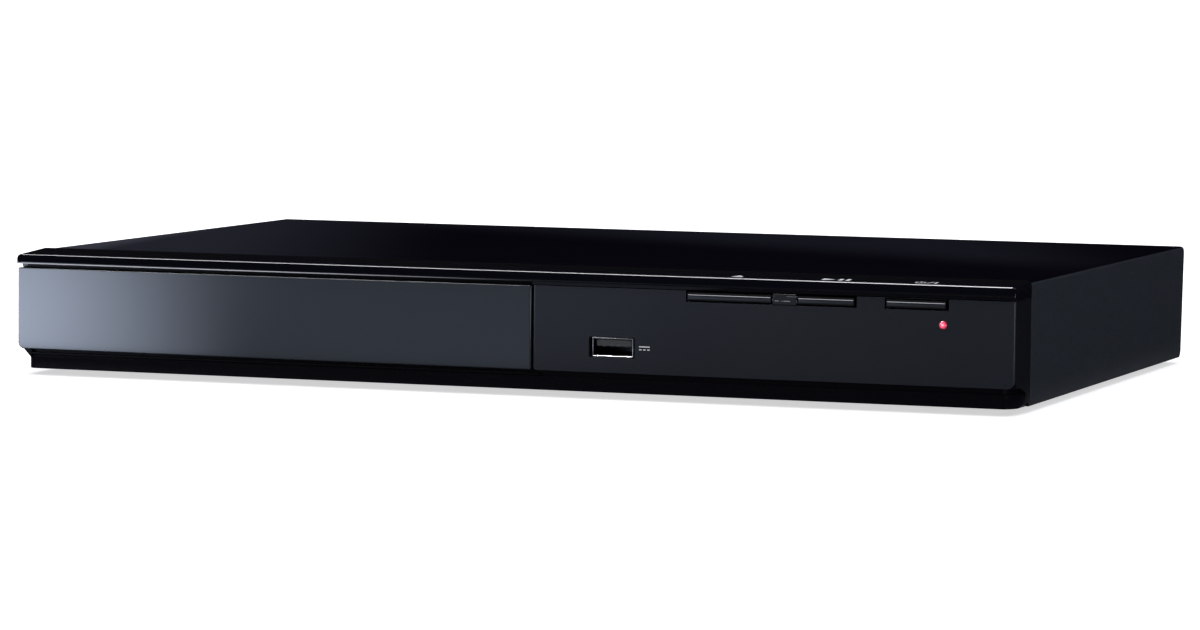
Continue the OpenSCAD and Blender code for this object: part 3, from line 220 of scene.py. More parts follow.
def skin(name, colour, rough, grain=1400, bump=0.00001, drift=0.12, metallic=0.0, specular=0.5, coat=0.0,
         stretch=(1, 1, 1), pebble=False):
    """A finish whose colour, gloss and relief vary with the place on the piece; grain is per metre."""
    material, tree, link = new_material(name)
    place, turn = tree.new("ShaderNodeTexCoord"), tree.new("ShaderNodeMapping")
    turn.inputs["Scale"].default_value = stretch
    fine = tree.new("ShaderNodeTexVoronoi" if pebble else "ShaderNodeTexNoise")
    fine.inputs["Scale"].default_value = grain
    wide = tree.new("ShaderNodeTexNoise")
    wide.inputs["Scale"].default_value = 14
    wide.inputs["Detail"].default_value = 4
    share, dark, pale, shade = colour_mix(tree)
    for socket, k in ((dark, 1 - drift), (pale, 1 + drift)):
        socket.default_value = [min(c * k, 1) for c in colour] + [1]
    gloss = ramp(tree, 0.3, 0.7, rough * 0.9, min(rough * 1.1, 1), "LINEAR")
    relief = tree.new("ShaderNodeBump")
    relief.inputs["Strength"].default_value = 1
    relief.inputs["Distance"].default_value = bump
    surface, out = tree.new("ShaderNodeBsdfPrincipled"), tree.new("ShaderNodeOutputMaterial")
    surface.inputs["Metallic"].default_value = metallic
    surface.inputs["Specular IOR Level"].default_value = specular
    surface.inputs["Coat Weight"].default_value = coat
    surface.inputs["Coat Roughness"].default_value = 0.05
    link.new(place.outputs["Object"], turn.inputs[0])
    link.new(turn.outputs[0], fine.inputs["Vector"])
    link.new(place.outputs["Object"], wide.inputs["Vector"])
    height = fine.outputs["Distance" if pebble else 0]
    link.new(height, share)
    link.new(height, relief.inputs["Height"])
    link.new(wide.outputs[0], gloss.inputs["Value"])
    link.new(shade, surface.inputs["Base Color"])
    link.new(gloss.outputs[0], surface.inputs["Roughness"])
    link.new(relief.outputs[0], surface.inputs["Normal"])
    link.new(surface.outputs[0], out.inputs[0])
    return material


def dress(material, *names):
    """The solids stay as they are and get their finish."""
    for node in names:
        nodes[node].data.materials.clear()
        nodes[node].data.materials.append(material)


def bake(piece):
    """The piece becomes what its modifiers make of it."""
    bpy.context.view_layer.update()
    made = bpy.data.meshes.new_from_object(piece.evaluated_get(bpy.context.evaluated_depsgraph_get()))
    piece.modifiers.clear()
    piece.data = made


def broken_edges(node, name, body, material, width, segments=2, sharp=35, halved=None):
    """A copy of a solid with its edges broken, as a press or mould leaves them.

    Faces are joined to large ones first. A piece halved at some x keeps a seam
    there, so that no face runs all the way round an opening."""
    mesh = nodes[node].data.copy()
    if "custom_normal" in mesh.attributes:
        mesh.attributes.remove(mesh.attributes["custom_normal"])
    bm = bmesh.new()
    bm.from_mesh(mesh)
    bmesh.ops.remove_doubles(bm, verts=bm.verts, dist=2e-6)
    if halved is not None:
        cut = bmesh.ops.bisect_plane(bm, geom=bm.verts[:] + bm.edges[:] + bm.faces[:], plane_no=(1, 0, 0),
                                     plane_co=(halved, 0, 0))
        for edge in cut["geom_cut"]:
            if isinstance(edge, bmesh.types.BMEdge):
                edge.seam = True
    bmesh.ops.dissolve_limit(bm, angle_limit=math.radians(0.5), verts=bm.verts, edges=bm.edges,
                             delimit={"SEAM"})
    for face in bm.faces:
        face.smooth = True
    bm.to_mesh(mesh)
    bm.free()
    mesh.materials.clear()
    mesh.materials.append(material)
    piece = add_object(name, mesh)
    round_off = piece.modifiers.new("round_off", "BEVEL")
    round_off.width, round_off.segments = width, segments
    round_off.limit_method, round_off.angle_limit = "ANGLE", math.radians(sharp)
    round_off.miter_outer = "MITER_ARC"
    round_off.use_clamp_overlap = True
    even = piece.modifiers.new("even", "WEIGHTED_NORMAL")
    even.weight, even.keep_sharp = 100, True
    bake(piece)
    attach(piece, body)
    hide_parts(node)
    return piece


def second_finish(piece, material, chosen):
    """Faces chosen by their middle and normal get another finish."""
    piece.data.materials.append(material)
    for face in piece.data.polygons:
        if chosen(face.center, face.normal):
            face.material_index = len(piece.data.materials) - 1


def paint_over(material, share, colour):
    """Another colour comes over the base colour, as much as an output of the material's nodes says."""
    tree, link = material.node_tree.nodes, material.node_tree.links
    amount, under, over, result = colour_mix(tree)
    base = tree["Principled BSDF"].inputs["Base Color"]
    over.default_value = (*colour, 1)
    link.new(base.links[0].from_socket, under)
    link.new(share, amount)
    link.new(result, base)


def fade_to(material, way, start, end, colour):
    """The colour goes over to another one along a way through the piece."""
    tree, link = material.node_tree.nodes, material.node_tree.links
    place, along = tree.new("ShaderNodeTexCoord"), tree.new("ShaderNodeVectorMath")
    along.operation = "DOT_PRODUCT"
    along.inputs[1].default_value = way
    share = ramp(tree, start, end, 0, 1)
    link.new(place.outputs["Object"], along.inputs[0])
    link.new(along.outputs["Value"], share.inputs["Value"])
    paint_over(material, share.outputs[0], colour)


cover_coat_and_painted_reflection = skin("cover_powder_coat_and_painted_reflection", (0.0009, 0.0003, 0.0034), 0.42, grain=1100, bump=0.000012, drift=0.6,
                   specular=0.02, pebble=True)
# Painted reflection on the lid: nearly black in front and at the right end, paler to the rear and the left, with
# a painted highlight along the left edge
for way, start, end, colour in (((0.40, 0.92, 0), 0.014, 0.082, (0.0094, 0.0098, 0.0164)),
                                ((0.94, 0.34, 0), 0.105, 0.175, (0.0012, 0.0006, 0.0036)),
                                ((-0.94, -0.34, 0), 0.050, 0.145, (0.0180, 0.0193, 0.0290)),
                                ((-1, -0.12, 0), 0.152, 0.164, (0.043, 0.0445, 0.060))):
    fade_to(cover_coat_and_painted_reflection, way, start, end, colour)
# The sides get a paler copy of the same coat: painted light, where they catch more light than the top
side_coat_painted_light = skin("cover_side_coat_painted_light", (0.0260, 0.0310, 0.0410), 0.45, grain=1500, bump=0.000012, drift=0.35,
                  specular=0.12, pebble=True)
cover = broken_edges("top_cover", "cover_sheet", "case", cover_coat_and_painted_reflection, 0.0002)
second_finish(cover, side_coat_painted_light, lambda at, n: abs(n.x) > 0.7)

# ---------------------------------------------------------------- Front moulding
# One black moulding: the face right of the tray door, the cheeks at both ends, the wall
# behind the door and the set-back skirt. Satin from the mould, edges slightly rounded.
panel_black = skin("panel_satin", (0.0106, 0.0134, 0.0215), 0.34, grain=3400, bump=0.0000015, drift=0.2,
                   specular=0.22)
# Darker copy of the same satin: painted shade for the set-back skirt and the front faces behind the wall
skirt_painted_shade = skin("panel_lower_painted_shade", (0.0034, 0.0030, 0.0056), 0.3, grain=1600, bump=0.000006, drift=0.4,
                   specular=0.06)
# Darker copy of the same satin: painted shade for the cheeks at both ends
cheek_painted_shade = skin("panel_cheek_painted_shade", (0.0095, 0.0100, 0.0150), 0.4, grain=1600, bump=0.000006, drift=0.4,
                   specular=0.10)
tray_middle, edge_width = -0.0757, 0.00033
moulding = broken_edges("front_panel", "front_moulding", "case", panel_black, edge_width,
                        segments=3, halved=tray_middle)
low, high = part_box("front_panel")
skirt_top, cheek_foot = low[2] + 0.0075, low[2] + 0.0068
set_back, cheek_front, wall = low[1] + 0.0005, low[1] + 0.0006, low[1] + 0.0012
# Painted shade on the skirt and on the front faces behind the wall
second_finish(moulding, skirt_painted_shade, lambda at, n: at.z < skirt_top and at.y > set_back
              or n.y < -0.5 and at.y > wall)
# Painted shade on the cheeks
second_finish(moulding, cheek_painted_shade, lambda at, n: abs(n.x) > 0.7 and at.z > cheek_foot and at.y > cheek_front)

# ---------------------------------------------------------------- Trim bar
# Polished black bar moulded along the top front edge, with a lip and a second step below
# it; its upper corners are rounded at both ends.
trim_black = skin("trim_polished", (0.0026, 0.0029, 0.0052), 0.08, grain=900, bump=0.0000004, drift=0.1,
                  specular=0.18)
trim = broken_edges("top_trim", "trim_bar", "case", trim_black, 0.00018, segments=3)
# Painted highlight on the lip's lower rounded edge: pale at the left, fading to black towards the right
trim_painted_highlight = skin("trim_lower_edge_painted_highlight", (0.85, 0.85, 0.92), 0.3, grain=900, bump=0.0000006, drift=0.05,
                 specular=0.3)
fade_to(trim_painted_highlight, (1, 0, 0), -0.10, 0.02, (0.004, 0.004, 0.006))
second_finish(trim, trim_painted_highlight, lambda at, n: -0.8 < n.z < -0.4 and n.y < -0.6)
low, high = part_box("top_trim")
bend, steps, shoulder = 0.0017, 8, low[2] + 0.0022
bm = bmesh.new()
bm.from_mesh(trim.data)
for side, end in ((-1, low[0]), (1, high[0])):
    for k in range(1, steps + 1):
        cut_x = end - side * bend * (1 - math.cos(math.pi / 2 * k / steps))
        bmesh.ops.bisect_plane(bm, geom=bm.verts[:] + bm.edges[:] + bm.faces[:], plane_co=(cut_x, 0, 0),
                               plane_no=(1, 0, 0))
for vert in bm.verts:
    inside = bend - min(vert.co.x - low[0], high[0] - vert.co.x)
    if inside > 0 and vert.co.z > shoulder:
        drop = bend - math.sqrt(max(bend * bend - inside * inside, 0))
        vert.co.z -= drop * (vert.co.z - shoulder) / (high[2] - shoulder)
bm.to_mesh(trim.data)
bm.free()
trim.data.attributes.remove(trim.data.attributes["custom_normal"])
trim.data.set_sharp_from_angle(angle=math.radians(16))

# ---------------------------------------------------------------- Marks on the trim and by the USB socket
# Pale screen prints, in the usual signs only: eject over its key, play and pause over the
# middle one, power over the right one, and the direct-current sign beside the USB socket.
def mesh_of(bm, name):
    """Mesh of finished faces, all turned outwards."""
    bmesh.ops.recalc_face_normals(bm, faces=bm.faces)
    mesh = bpy.data.meshes.new(name)
    bm.to_mesh(mesh)
    bm.free()
    return mesh


def print_marks(name, outlines, lift):
    """Flat ink films; each outline is in millimetres and lift puts its points on their surface."""
    bm = bmesh.new()
    for outline in outlines:
        bm.faces.new([bm.verts.new(lift(*point)) for point in outline])
    piece = add_object(name, mesh_of(bm, name))
    piece.data.materials.append(mark_ink)
    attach(piece, "case")


def slab(x, y):
    return [(x[0], y[0]), (x[1], y[0]), (x[1], y[1]), (x[0], y[1])]


def arc_band(x, y, r, width, start, end, steps):
    """Short slabs along a circle."""
    angles = [math.radians(start + (end - start) * k / steps) for k in range(steps + 1)]
    return [[(x + q * math.cos(t), y + q * math.sin(t))
             for q, t in ((r, a), (r, b), (r + width, b), (r + width, a))] for a, b in zip(angles, angles[1:])]


# Front of the face, depth and slope of the trim's top, and how far the ink lies off its surface
face_y, trim_depth, rise, film = -0.1065, 0.0167, 1.0 / 16.5, 0.000004
trim_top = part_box("top_trim")[1][2]
mark_ink = skin("mark_ink", (0.70, 0.71, 0.74), 0.6, grain=3000, bump=0.000001, drift=0.06)


def on_trim(x, y):
    return (x / 1000, face_y + y / 1000, trim_top - (trim_depth - y / 1000) * rise + film)


def on_face(x, z):
    return (x / 1000, face_y - film, z / 1000)


print_marks("eject_mark", [[(73.7, 3.6), (77.3, 3.6), (75.5, 6.0)], slab((73.7, 77.3), (2.5, 3.1))], on_trim)
print_marks("play_mark", [[(101.9, 2.5), (105.9, 4.2), (101.9, 5.9)], slab((107.0, 108.2), (2.5, 5.9)),
                          slab((109.3, 110.5), (2.5, 5.9))], on_trim)
print_marks("power_mark", arc_band(132.2, 4.1, 1.2, 0.45, 125, 415, 18) + [
    slab((131.95, 132.45), (4.1, 6.1)), [(134.4, 2.5), (134.9, 2.5), (136.1, 5.9), (135.6, 5.9)],
    slab((136.7, 137.3), (2.5, 5.9))], on_trim)
print_marks("current_mark", [slab((45.6, 49.0), (16.4, 16.7))]
            + [slab((x, x + 0.8), (15.5, 15.8)) for x in (45.6, 46.9, 48.2)], on_face)

# ---------------------------------------------------------------- Tray door
# Flat door moulded in blue-black plastic, finely satin, and clipped to the front of the
# tray. Shut, it makes up the left half of the front.
door_black = skin("door_satin", (0.0128, 0.0158, 0.0222), 0.15, grain=5200, bump=0.00000025, drift=0.12)
broken_edges("tray_door", "door_panel", "tray_unit", door_black, 0.0003, segments=3)

# ---------------------------------------------------------------- Keys
# Three moulded keys in notches under the trim, each on its own spring strip.
# Each front face shows a thin painted-shade border and a painted highlight along its upper edge; its sides, top
# and back get painted shade.
key_black = skin("key_satin", (0.014, 0.0155, 0.021), 0.16, grain=2400, bump=0.000002, drift=0.15)
# Painted shade for the key's sides, top, back and thin border
key_side_painted_shade = skin("key_side_painted_shade", (0.0012, 0.0012, 0.0016), 0.6, grain=2400, bump=0.000002, drift=0.3, specular=0.05)
# Painted highlight for the line along the upper edge
key_rim_painted_highlight = skin("key_rim_painted_highlight", (0.78, 0.79, 0.84), 0.35, grain=2400, bump=0.000002, drift=0.1, specular=0.4)
painted_shade_index, painted_highlight_index, upper_part = 1, 2, 0.0004
for key in ("eject", "play", "power"):
    cap = broken_edges(key + "_button", key + "_key", key + "_button", key_black, 0.00045,
                       segments=4)
    second_finish(cap, key_side_painted_shade, lambda at, n: n.y > -0.99)
    cap.data.materials.append(key_rim_painted_highlight)
    front = min(face.center.y for face in cap.data.polygons) + 0.0001
    bm = bmesh.new()
    bm.from_mesh(cap.data)
    for width, index in ((0.00022, painted_shade_index), (0.00020, painted_highlight_index)):
        plate = max((face for face in bm.faces if face.normal.y < -0.99 and face.calc_center_median().y < front),
                    key=lambda face: face.calc_area())
        for strip in bmesh.ops.inset_region(bm, faces=[plate], thickness=width)["faces"]:
            above = strip.calc_center_median().z > plate.calc_center_median().z + upper_part
            strip.material_index = index if index == painted_shade_index or above else 0
    bm.to_mesh(cap.data)
    bm.free()

# ---------------------------------------------------------------- Sensor window and standby lamp
# Polished smoked window over the remote receiver, crossed by two broken glowing lines of painted
# reflection, and a small domed lens whose lamp shows as a pink-red ring around a pale, swirled middle.
window_smoke_and_painted_reflection = skin("window_smoked_and_painted_reflection", (0.0045, 0.0030, 0.0040), 0.06, grain=700, bump=0.0000004, drift=0.2,
                    specular=0.34)
window_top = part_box("sensor_window")[1][2]
tree, link = window_smoke_and_painted_reflection.node_tree.nodes, window_smoke_and_painted_reflection.node_tree.links
place, split = tree.new("ShaderNodeTexCoord"), tree.new("ShaderNodeSeparateXYZ")
speck, broken = tree.new("ShaderNodeTexNoise"), ramp(tree, 0.50, 0.55, 0, 1)
speck.inputs["Scale"].default_value = 620
link.new(place.outputs["Object"], split.inputs[0])
link.new(place.outputs["Object"], speck.inputs["Vector"])
link.new(speck.outputs[0], broken.inputs["Value"])
# Painted reflection: two broken lines just under the window's top edge glow by emission
painted_reflection_lines = 0
for drop, light in ((0.00075, 0.08), (0.00215, 0.20)):
    away = calculate(tree, link, "SUBTRACT", split.outputs["Z"], window_top - drop)
    line = ramp(tree, 0.00006, 0.00016, light, 0)
    link.new(calculate(tree, link, "ABSOLUTE", away), line.inputs["Value"])
    painted_reflection_lines = calculate(tree, link, "ADD", painted_reflection_lines, line.outputs[0])
surface = tree["Principled BSDF"]
surface.inputs["Emission Color"].default_value = (0.9, 0.95, 1, 1)
link.new(calculate(tree, link, "MULTIPLY", painted_reflection_lines, broken.outputs[0]), surface.inputs["Emission Strength"])
broken_edges("sensor_window", "receiver_window", "case", window_smoke_and_painted_reflection, 0.00025, segments=3)

# The lens is lit from behind: its colour goes by the distance from its axis, broken up by a slow swirl
low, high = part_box("lamp_lens")
lens = skin("lamp_lens", (0.30, 0.03, 0.06), 0.2, grain=1200, bump=0.000002, drift=0.3, coat=0.6)
tree, link = lens.node_tree.nodes, lens.node_tree.links
place, shift = tree.new("ShaderNodeTexCoord"), tree.new("ShaderNodeMapping")
span, swirl = tree.new("ShaderNodeVectorMath"), tree.new("ShaderNodeTexNoise")
shift.inputs["Location"].default_value = (-(low[0] + high[0]) / 2, 0, -(low[2] + high[2]) / 2)
shift.inputs["Scale"].default_value = (1, 0, 1)
span.operation = "LENGTH"
swirl.inputs["Scale"].default_value = 900
swirl.inputs["Distortion"].default_value = 2
link.new(place.outputs["Object"], shift.inputs[0])
link.new(shift.outputs[0], span.inputs[0])
link.new(shift.outputs[0], swirl.inputs["Vector"])
swirl_depth = 0.0012
distance = calculate(tree, link, "MULTIPLY_ADD", swirl.outputs[0], swirl_depth, span.outputs["Value"])
tone, colours = ramp(tree, 0.0006, 0.0018, 0, 1, "LINEAR"), tree.new("ShaderNodeValToRGB")
colours.color_ramp.elements[0].color = (1.0, 0.62, 0.68, 1)
colours.color_ramp.elements[1].color = (0.10, 0.01, 0.02, 1)
colours.color_ramp.elements.new(0.45).color = (1.0, 0.08, 0.17, 1)
surface = tree["Principled BSDF"]
surface.inputs["Emission Strength"].default_value = 1.25
link.new(distance, tone.inputs["Value"])
link.new(tone.outputs[0], colours.inputs[0])
link.new(colours.outputs[0], surface.inputs["Emission Color"])
dress(lens, "lamp_lens", "standby_lamp")

# ---------------------------------------------------------------- USB socket
# Folded nickel-plated shell round a nylon tongue, on its own small board; the shell is
# bright outside, and its inside is darkened with painted shade.
nickel = skin("nickel_plate", (0.62, 0.62, 0.63), 0.2, grain=1600, bump=0.000002, drift=0.08, metallic=1.0,
              stretch=(1, 0.1, 1))
usb = broken_edges("usb_shell", "usb_sleeve", "case", nickel, 0.00012)
shell_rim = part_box("usb_shell")[0][1] + 0.0003
# Painted shade inside the shell
nickel_painted_shade = skin("nickel_inside_painted_shade", (0.045, 0.045, 0.050), 0.3, grain=900, bump=0.00002, drift=0.5, metallic=1.0)
second_finish(usb, nickel_painted_shade, lambda at, n: at.y > shell_rim)
dress(skin("usb_nylon", (0.05, 0.05, 0.054), 0.45, grain=1800, bump=0.000004), "usb_tongue")

# ---------------------------------------------------------------- Rear panel, feet and chassis
# Steel rear panel painted black and punched for the sockets and air slots, folded chassis
# pan of zinc-plated steel, and four moulded rubber feet under it.
rear_black = skin("rear_paint", (0.013, 0.013, 0.015), 0.5, grain=1500, bump=0.000010, drift=0.25,
                  specular=0.35, pebble=True)
broken_edges("rear_panel", "rear_plate", "case", rear_black, 0.00015)
zinc = skin("zinc_plate", (0.46, 0.47, 0.49), 0.38, grain=260, bump=0.000003, drift=0.14, metallic=1.0)
broken_edges("bottom_chassis", "chassis_pan", "case", zinc, 0.00012, segments=1)
foot_rubber = skin("foot_rubber", (0.022, 0.022, 0.023), 0.75, grain=1300, bump=0.00002, drift=0.3,
                   specular=0.3)
dress(foot_rubber, "rubber_feet")

# ---------------------------------------------------------------- Sockets on the rear panel
# Six phono sockets, nickel sleeves round coloured insulators, in one moulded block, and
# the figure-of-eight mains inlet with its two pins.
block_black = skin("socket_block", (0.016, 0.016, 0.018), 0.55, grain=2000, bump=0.000006, drift=0.2)
broken_edges("av_socket_block", "socket_block", "case", block_black, 0.0002)
broken_edges("av_sleeves", "socket_sleeves", "case", nickel, 0.00006, sharp=50)
for name, colour in (("red", (0.45, 0.012, 0.012)), ("green", (0.012, 0.26, 0.06)), ("blue", (0.012, 0.06, 0.42)),
                     ("yellow", (0.72, 0.46, 0.012)), ("white", (0.72, 0.72, 0.69))):
    moulded = skin("socket_" + name, colour, 0.28, grain=1800, bump=0.000002, drift=0.05, coat=0.25)
    broken_edges("insert_" + name, "socket_" + name, "case", moulded, 0.00015, sharp=50)
broken_edges("mains_inlet", "inlet_shroud", "case", block_black, 0.0003)
brass = skin("plated_brass", (0.72, 0.56, 0.30), 0.24, grain=900, bump=0.000001, drift=0.08, metallic=1.0)
broken_edges("inlet_pins", "mains_pins", "case", brass, 0.0004, segments=3)

# ---------------------------------------------------------------- Screws
# Pan-head screws with a cross recess: one head, set out by points, each turned by chance.
# Black ones hold the cover at the rear, bright ones the boards, the loader and the front.
head_radius, head_height, shank = 0.0027, 0.0017, 0.0036


def cross_head():
    """Head and shank of one screw along +Z, its seat at zero, its recess cut."""
    profile = [(0, -shank), (0.0011, -shank), (0.00142, 0.0006 - shank), (0.00142, 0), (0.00266, 0),
               (head_radius, 0.00012), (head_radius, 0.0007), (0.0026, 0.00098), (0.00235, 0.00122),
               (0.00195, 0.00142), (0.0014, 0.00157), (0.0007, 0.00167), (0, head_height)]
    around = 40
    bm = bmesh.new()
    rows = []
    for r, z in profile:
        angles = [2 * math.pi * k / around for k in range(around if r else 1)]
        rows.append([bm.verts.new((r * math.cos(a), r * math.sin(a), z)) for a in angles])
    for low_row, high_row in zip(rows, rows[1:]):
        for k in range(around):
            n = (k + 1) % around
            if len(low_row) == 1:
                bm.faces.new((low_row[0], high_row[n], high_row[k]))
            elif len(high_row) == 1:
                bm.faces.new((low_row[k], low_row[n], high_row[0]))
            else:
                bm.faces.new((low_row[k], low_row[n], high_row[n], high_row[k]))
    head = add_object("screw_head", mesh_of(bm, "screw_head"))
    # Two crossed wedges, wide and thick at their open end, narrow at the bottom
    top = ((0.00145, 0.0003), 0.0022)
    bottom = ((0.00055, 0.0002), 0.00035)
    cutters = []
    for quarter in (0, 1):
        bm = bmesh.new()
        verts = []
        for (x, y), z in (top, bottom):
            for corner in ((-x, -y), (x, -y), (x, y), (-x, y)):
                verts.append(bm.verts.new((-corner[1], corner[0], z) if quarter else (*corner, z)))
        for face in ((0, 1, 2, 3), (7, 6, 5, 4), (0, 4, 5, 1), (1, 5, 6, 2), (2, 6, 7, 3), (3, 7, 4, 0)):
            bm.faces.new([verts[k] for k in face])
        cutters.append(add_object("recess_%d" % quarter, mesh_of(bm, "recess")))
        cut = head.modifiers.new("recess_%d" % quarter, "BOOLEAN")
        cut.operation, cut.solver, cut.object = "DIFFERENCE", "EXACT", cutters[-1]
    bake(head)
    for cutter in cutters:
        bpy.data.objects.remove(cutter)
    head.data.shade_smooth()
    head.data.set_sharp_from_angle(angle=math.radians(40))
    return head


def scatter(name, head, spots, turn, material, body, node):
    """One copy of the head at each spot, turned alike and then by chance about its own axis."""
    tree = bpy.data.node_groups.new(name, "GeometryNodeTree")
    sockets = {}
    for label, direction, kind in (
            ("Spots", "INPUT", "NodeSocketGeometry"), ("Head", "INPUT", "NodeSocketObject"),
            ("Turn", "INPUT", "NodeSocketVector"), ("Seed", "INPUT", "NodeSocketInt"),
            ("Finish", "INPUT", "NodeSocketMaterial"), ("Screws", "OUTPUT", "NodeSocketGeometry")):
        sockets[label] = tree.interface.new_socket(label, in_out=direction, socket_type=kind).identifier
    new, link = tree.nodes.new, tree.links.new
    start, end = new("NodeGroupInput"), new("NodeGroupOutput")
    points, info = new("GeometryNodeMeshToPoints"), new("GeometryNodeObjectInfo")
    copy, rotate = new("GeometryNodeInstanceOnPoints"), new("GeometryNodeRotateInstances")
    chance, spin = new("FunctionNodeRandomValue"), new("ShaderNodeCombineXYZ")
    solid, paint = new("GeometryNodeRealizeInstances"), new("GeometryNodeSetMaterial")
    chance.data_type = "FLOAT"
    chance.inputs[2].default_value, chance.inputs[3].default_value = 0, math.pi / 2
    link(start.outputs["Spots"], points.inputs["Mesh"])
    link(points.outputs[0], copy.inputs["Points"])
    link(start.outputs["Head"], info.inputs["Object"])
    link(info.outputs["Geometry"], copy.inputs["Instance"])
    link(start.outputs["Turn"], copy.inputs["Rotation"])
    link(start.outputs["Seed"], chance.inputs["Seed"])
    link(chance.outputs[1], spin.inputs["Z"])
    link(copy.outputs[0], rotate.inputs["Instances"])
    link(spin.outputs[0], rotate.inputs["Rotation"])
    link(rotate.outputs[0], solid.inputs[0])
    link(solid.outputs[0], paint.inputs["Geometry"])
    link(start.outputs["Finish"], paint.inputs["Material"])
    link(paint.outputs[0], end.inputs["Screws"])
    mesh = bpy.data.meshes.new(name)
    mesh.from_pydata(spots, [], [])
    piece = add_object(name, mesh)
    spread = piece.modifiers.new("spread", "NODES")
    spread.node_group = tree
    for label, value in (("Head", head), ("Turn", turn), ("Seed", len(name)), ("Finish", material)):
        spread[sockets[label]] = value
    bake(piece)
    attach(piece, body)
    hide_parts(node)


def screw_seats(node, axis):
    """Seats of a solid's screws that look along one axis.

    They come from its loose parts as wide as a head, a head's height under the far end of
    each. A head has three such parts, so that three seats lie one behind the other."""
    bm = bmesh.new()
    bm.from_mesh(nodes[node].data)
    left, seats = set(bm.verts), []
    while left:
        group, edge = set(), [next(iter(left))]
        while edge:
            vert = edge.pop()
            if vert not in group:
                group.add(vert)
                edge += [e.other_vert(vert) for e in vert.link_edges]
        left -= group
        spans = [(min(v.co[k] for v in group), max(v.co[k] for v in group)) for k in range(3)]
        across = [high - low for k, (low, high) in enumerate(spans) if k != axis]
        if all(abs(size - 2 * head_radius) < 0.0002 for size in across):
            seat = [(low + high) / 2 for low, high in spans]
            seat[axis] = spans[axis][1] - head_height
            seats.append(seat)
    bm.free()
    return seats


screw_black = skin("black_passivated", (0.085, 0.085, 0.095), 0.34, grain=1200, bump=0.000004, drift=0.25,
                   metallic=0.9)
screw_zinc = skin("bright_zinc", (0.62, 0.63, 0.65), 0.26, grain=900, bump=0.000003, drift=0.1, metallic=1.0)
head = cross_head()
upwards, backwards = (0, 0, 0), (-math.pi / 2, 0, 0)
scatter("cover_screw_heads", head, screw_seats("cover_screws", 1), backwards, screw_black, "case",
        "cover_screws")
scatter("board_screw_heads", head, screw_seats("board_screws", 2), upwards, screw_zinc, "case",
        "board_screws")
scatter("front_screw_heads", head, screw_seats("board_screws", 1), backwards, screw_zinc, "case",
        "board_screws")
bpy.data.objects.remove(head)

# ---------------------------------------------------------------- Boards and their parts
# Solder-masked main board, plain tan power and key boards, with tracks under the mask,
# sleeved capacitors with bare tops, moulded packages, wound transformer, finned sink.
def laminate(name, mask, track, pitch):
    """Board: a fine weave under the mask and right-angled tracks standing out of it."""
    material = skin(name, mask, 0.34, grain=900, bump=0.000003, drift=0.12, coat=0.15)
    tree, link = material.node_tree.nodes, material.node_tree.links
    place, cells = tree.new("ShaderNodeTexCoord"), tree.new("ShaderNodeTexVoronoi")
    cells.distance = "CHEBYCHEV"
    cells.inputs["Scale"].default_value = pitch
    line = ramp(tree, 0.028, 0.040, 0, 1)
    link.new(place.outputs["Object"], cells.inputs["Vector"])
    link.new(calculate(tree, link, "PINGPONG", cells.outputs["Distance"], 0.09), line.inputs["Value"])
    paint_over(material, line.outputs[0], track)
    return material


green = laminate("mask_green", (0.010, 0.075, 0.030), (0.022, 0.145, 0.055), 260)
tan = laminate("laminate_tan", (0.30, 0.19, 0.075), (0.20, 0.115, 0.045), 190)
dress(green, "main_board", "usb_board", "loader_board")
dress(tan, "power_board", "front_board")
package = skin("package_black", (0.014, 0.014, 0.015), 0.5, grain=2600, bump=0.000005, drift=0.2)
bare_alu = skin("bare_aluminium", (0.62, 0.63, 0.65), 0.34, grain=700, bump=0.000003, drift=0.1, metallic=1.0,
                stretch=(1, 0.08, 1))
nylon = skin("nylon_natural", (0.62, 0.58, 0.49), 0.48, grain=1500, bump=0.000005, drift=0.08)
sleeve = skin("sleeve_blue", (0.014, 0.026, 0.075), 0.25, grain=500, bump=0.000002, drift=0.15, coat=0.4)
chips = broken_edges("main_chips", "chips", "case", package, 0.0001, segments=1)
bare_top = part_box("main_board")[1][2] + 0.0017
second_finish(chips, bare_alu, lambda at, n: at.z > bare_top)
broken_edges("board_connectors", "connectors", "case", nylon, 0.00025)
for node, name in (("board_capacitors", "capacitors"), ("bulk_capacitor", "mains_capacitor")):
    cans = broken_edges(node, name, "case", sleeve, 0.0004, segments=3, sharp=50)
    second_finish(cans, bare_alu, lambda at, n: n.z > 0.95)
tape = skin("tape_yellow", (0.62, 0.40, 0.03), 0.35, grain=420, bump=0.000004, drift=0.1, stretch=(0.1, 0.1, 3))
ferrite = skin("ferrite_grey", (0.03, 0.03, 0.032), 0.6, grain=900, bump=0.000012, drift=0.3)
coil = broken_edges("transformer", "wound_transformer", "case", tape, 0.0004)
low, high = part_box("transformer")
core, foot = 0.0031, low[2] + 0.0023
second_finish(coil, ferrite, lambda at, n: min(at.y - low[1], high[1] - at.y) < core or at.z < foot)
broken_edges("power_heat_sink", "heat_sink", "case", bare_alu, 0.0002)
switch_body = skin("switch_body", (0.05, 0.05, 0.054), 0.45, grain=1800, bump=0.000004, drift=0.15)
dress(switch_body, "tact_switches")
dress(package, "infrared_receiver")
flat_cable = skin("flat_cable", (0.74, 0.74, 0.76), 0.35, grain=900, bump=0.00001, drift=0.22,
                  stretch=(1, 0.01, 0.01))
dress(flat_cable, "front_ribbon", "loader_ribbon")

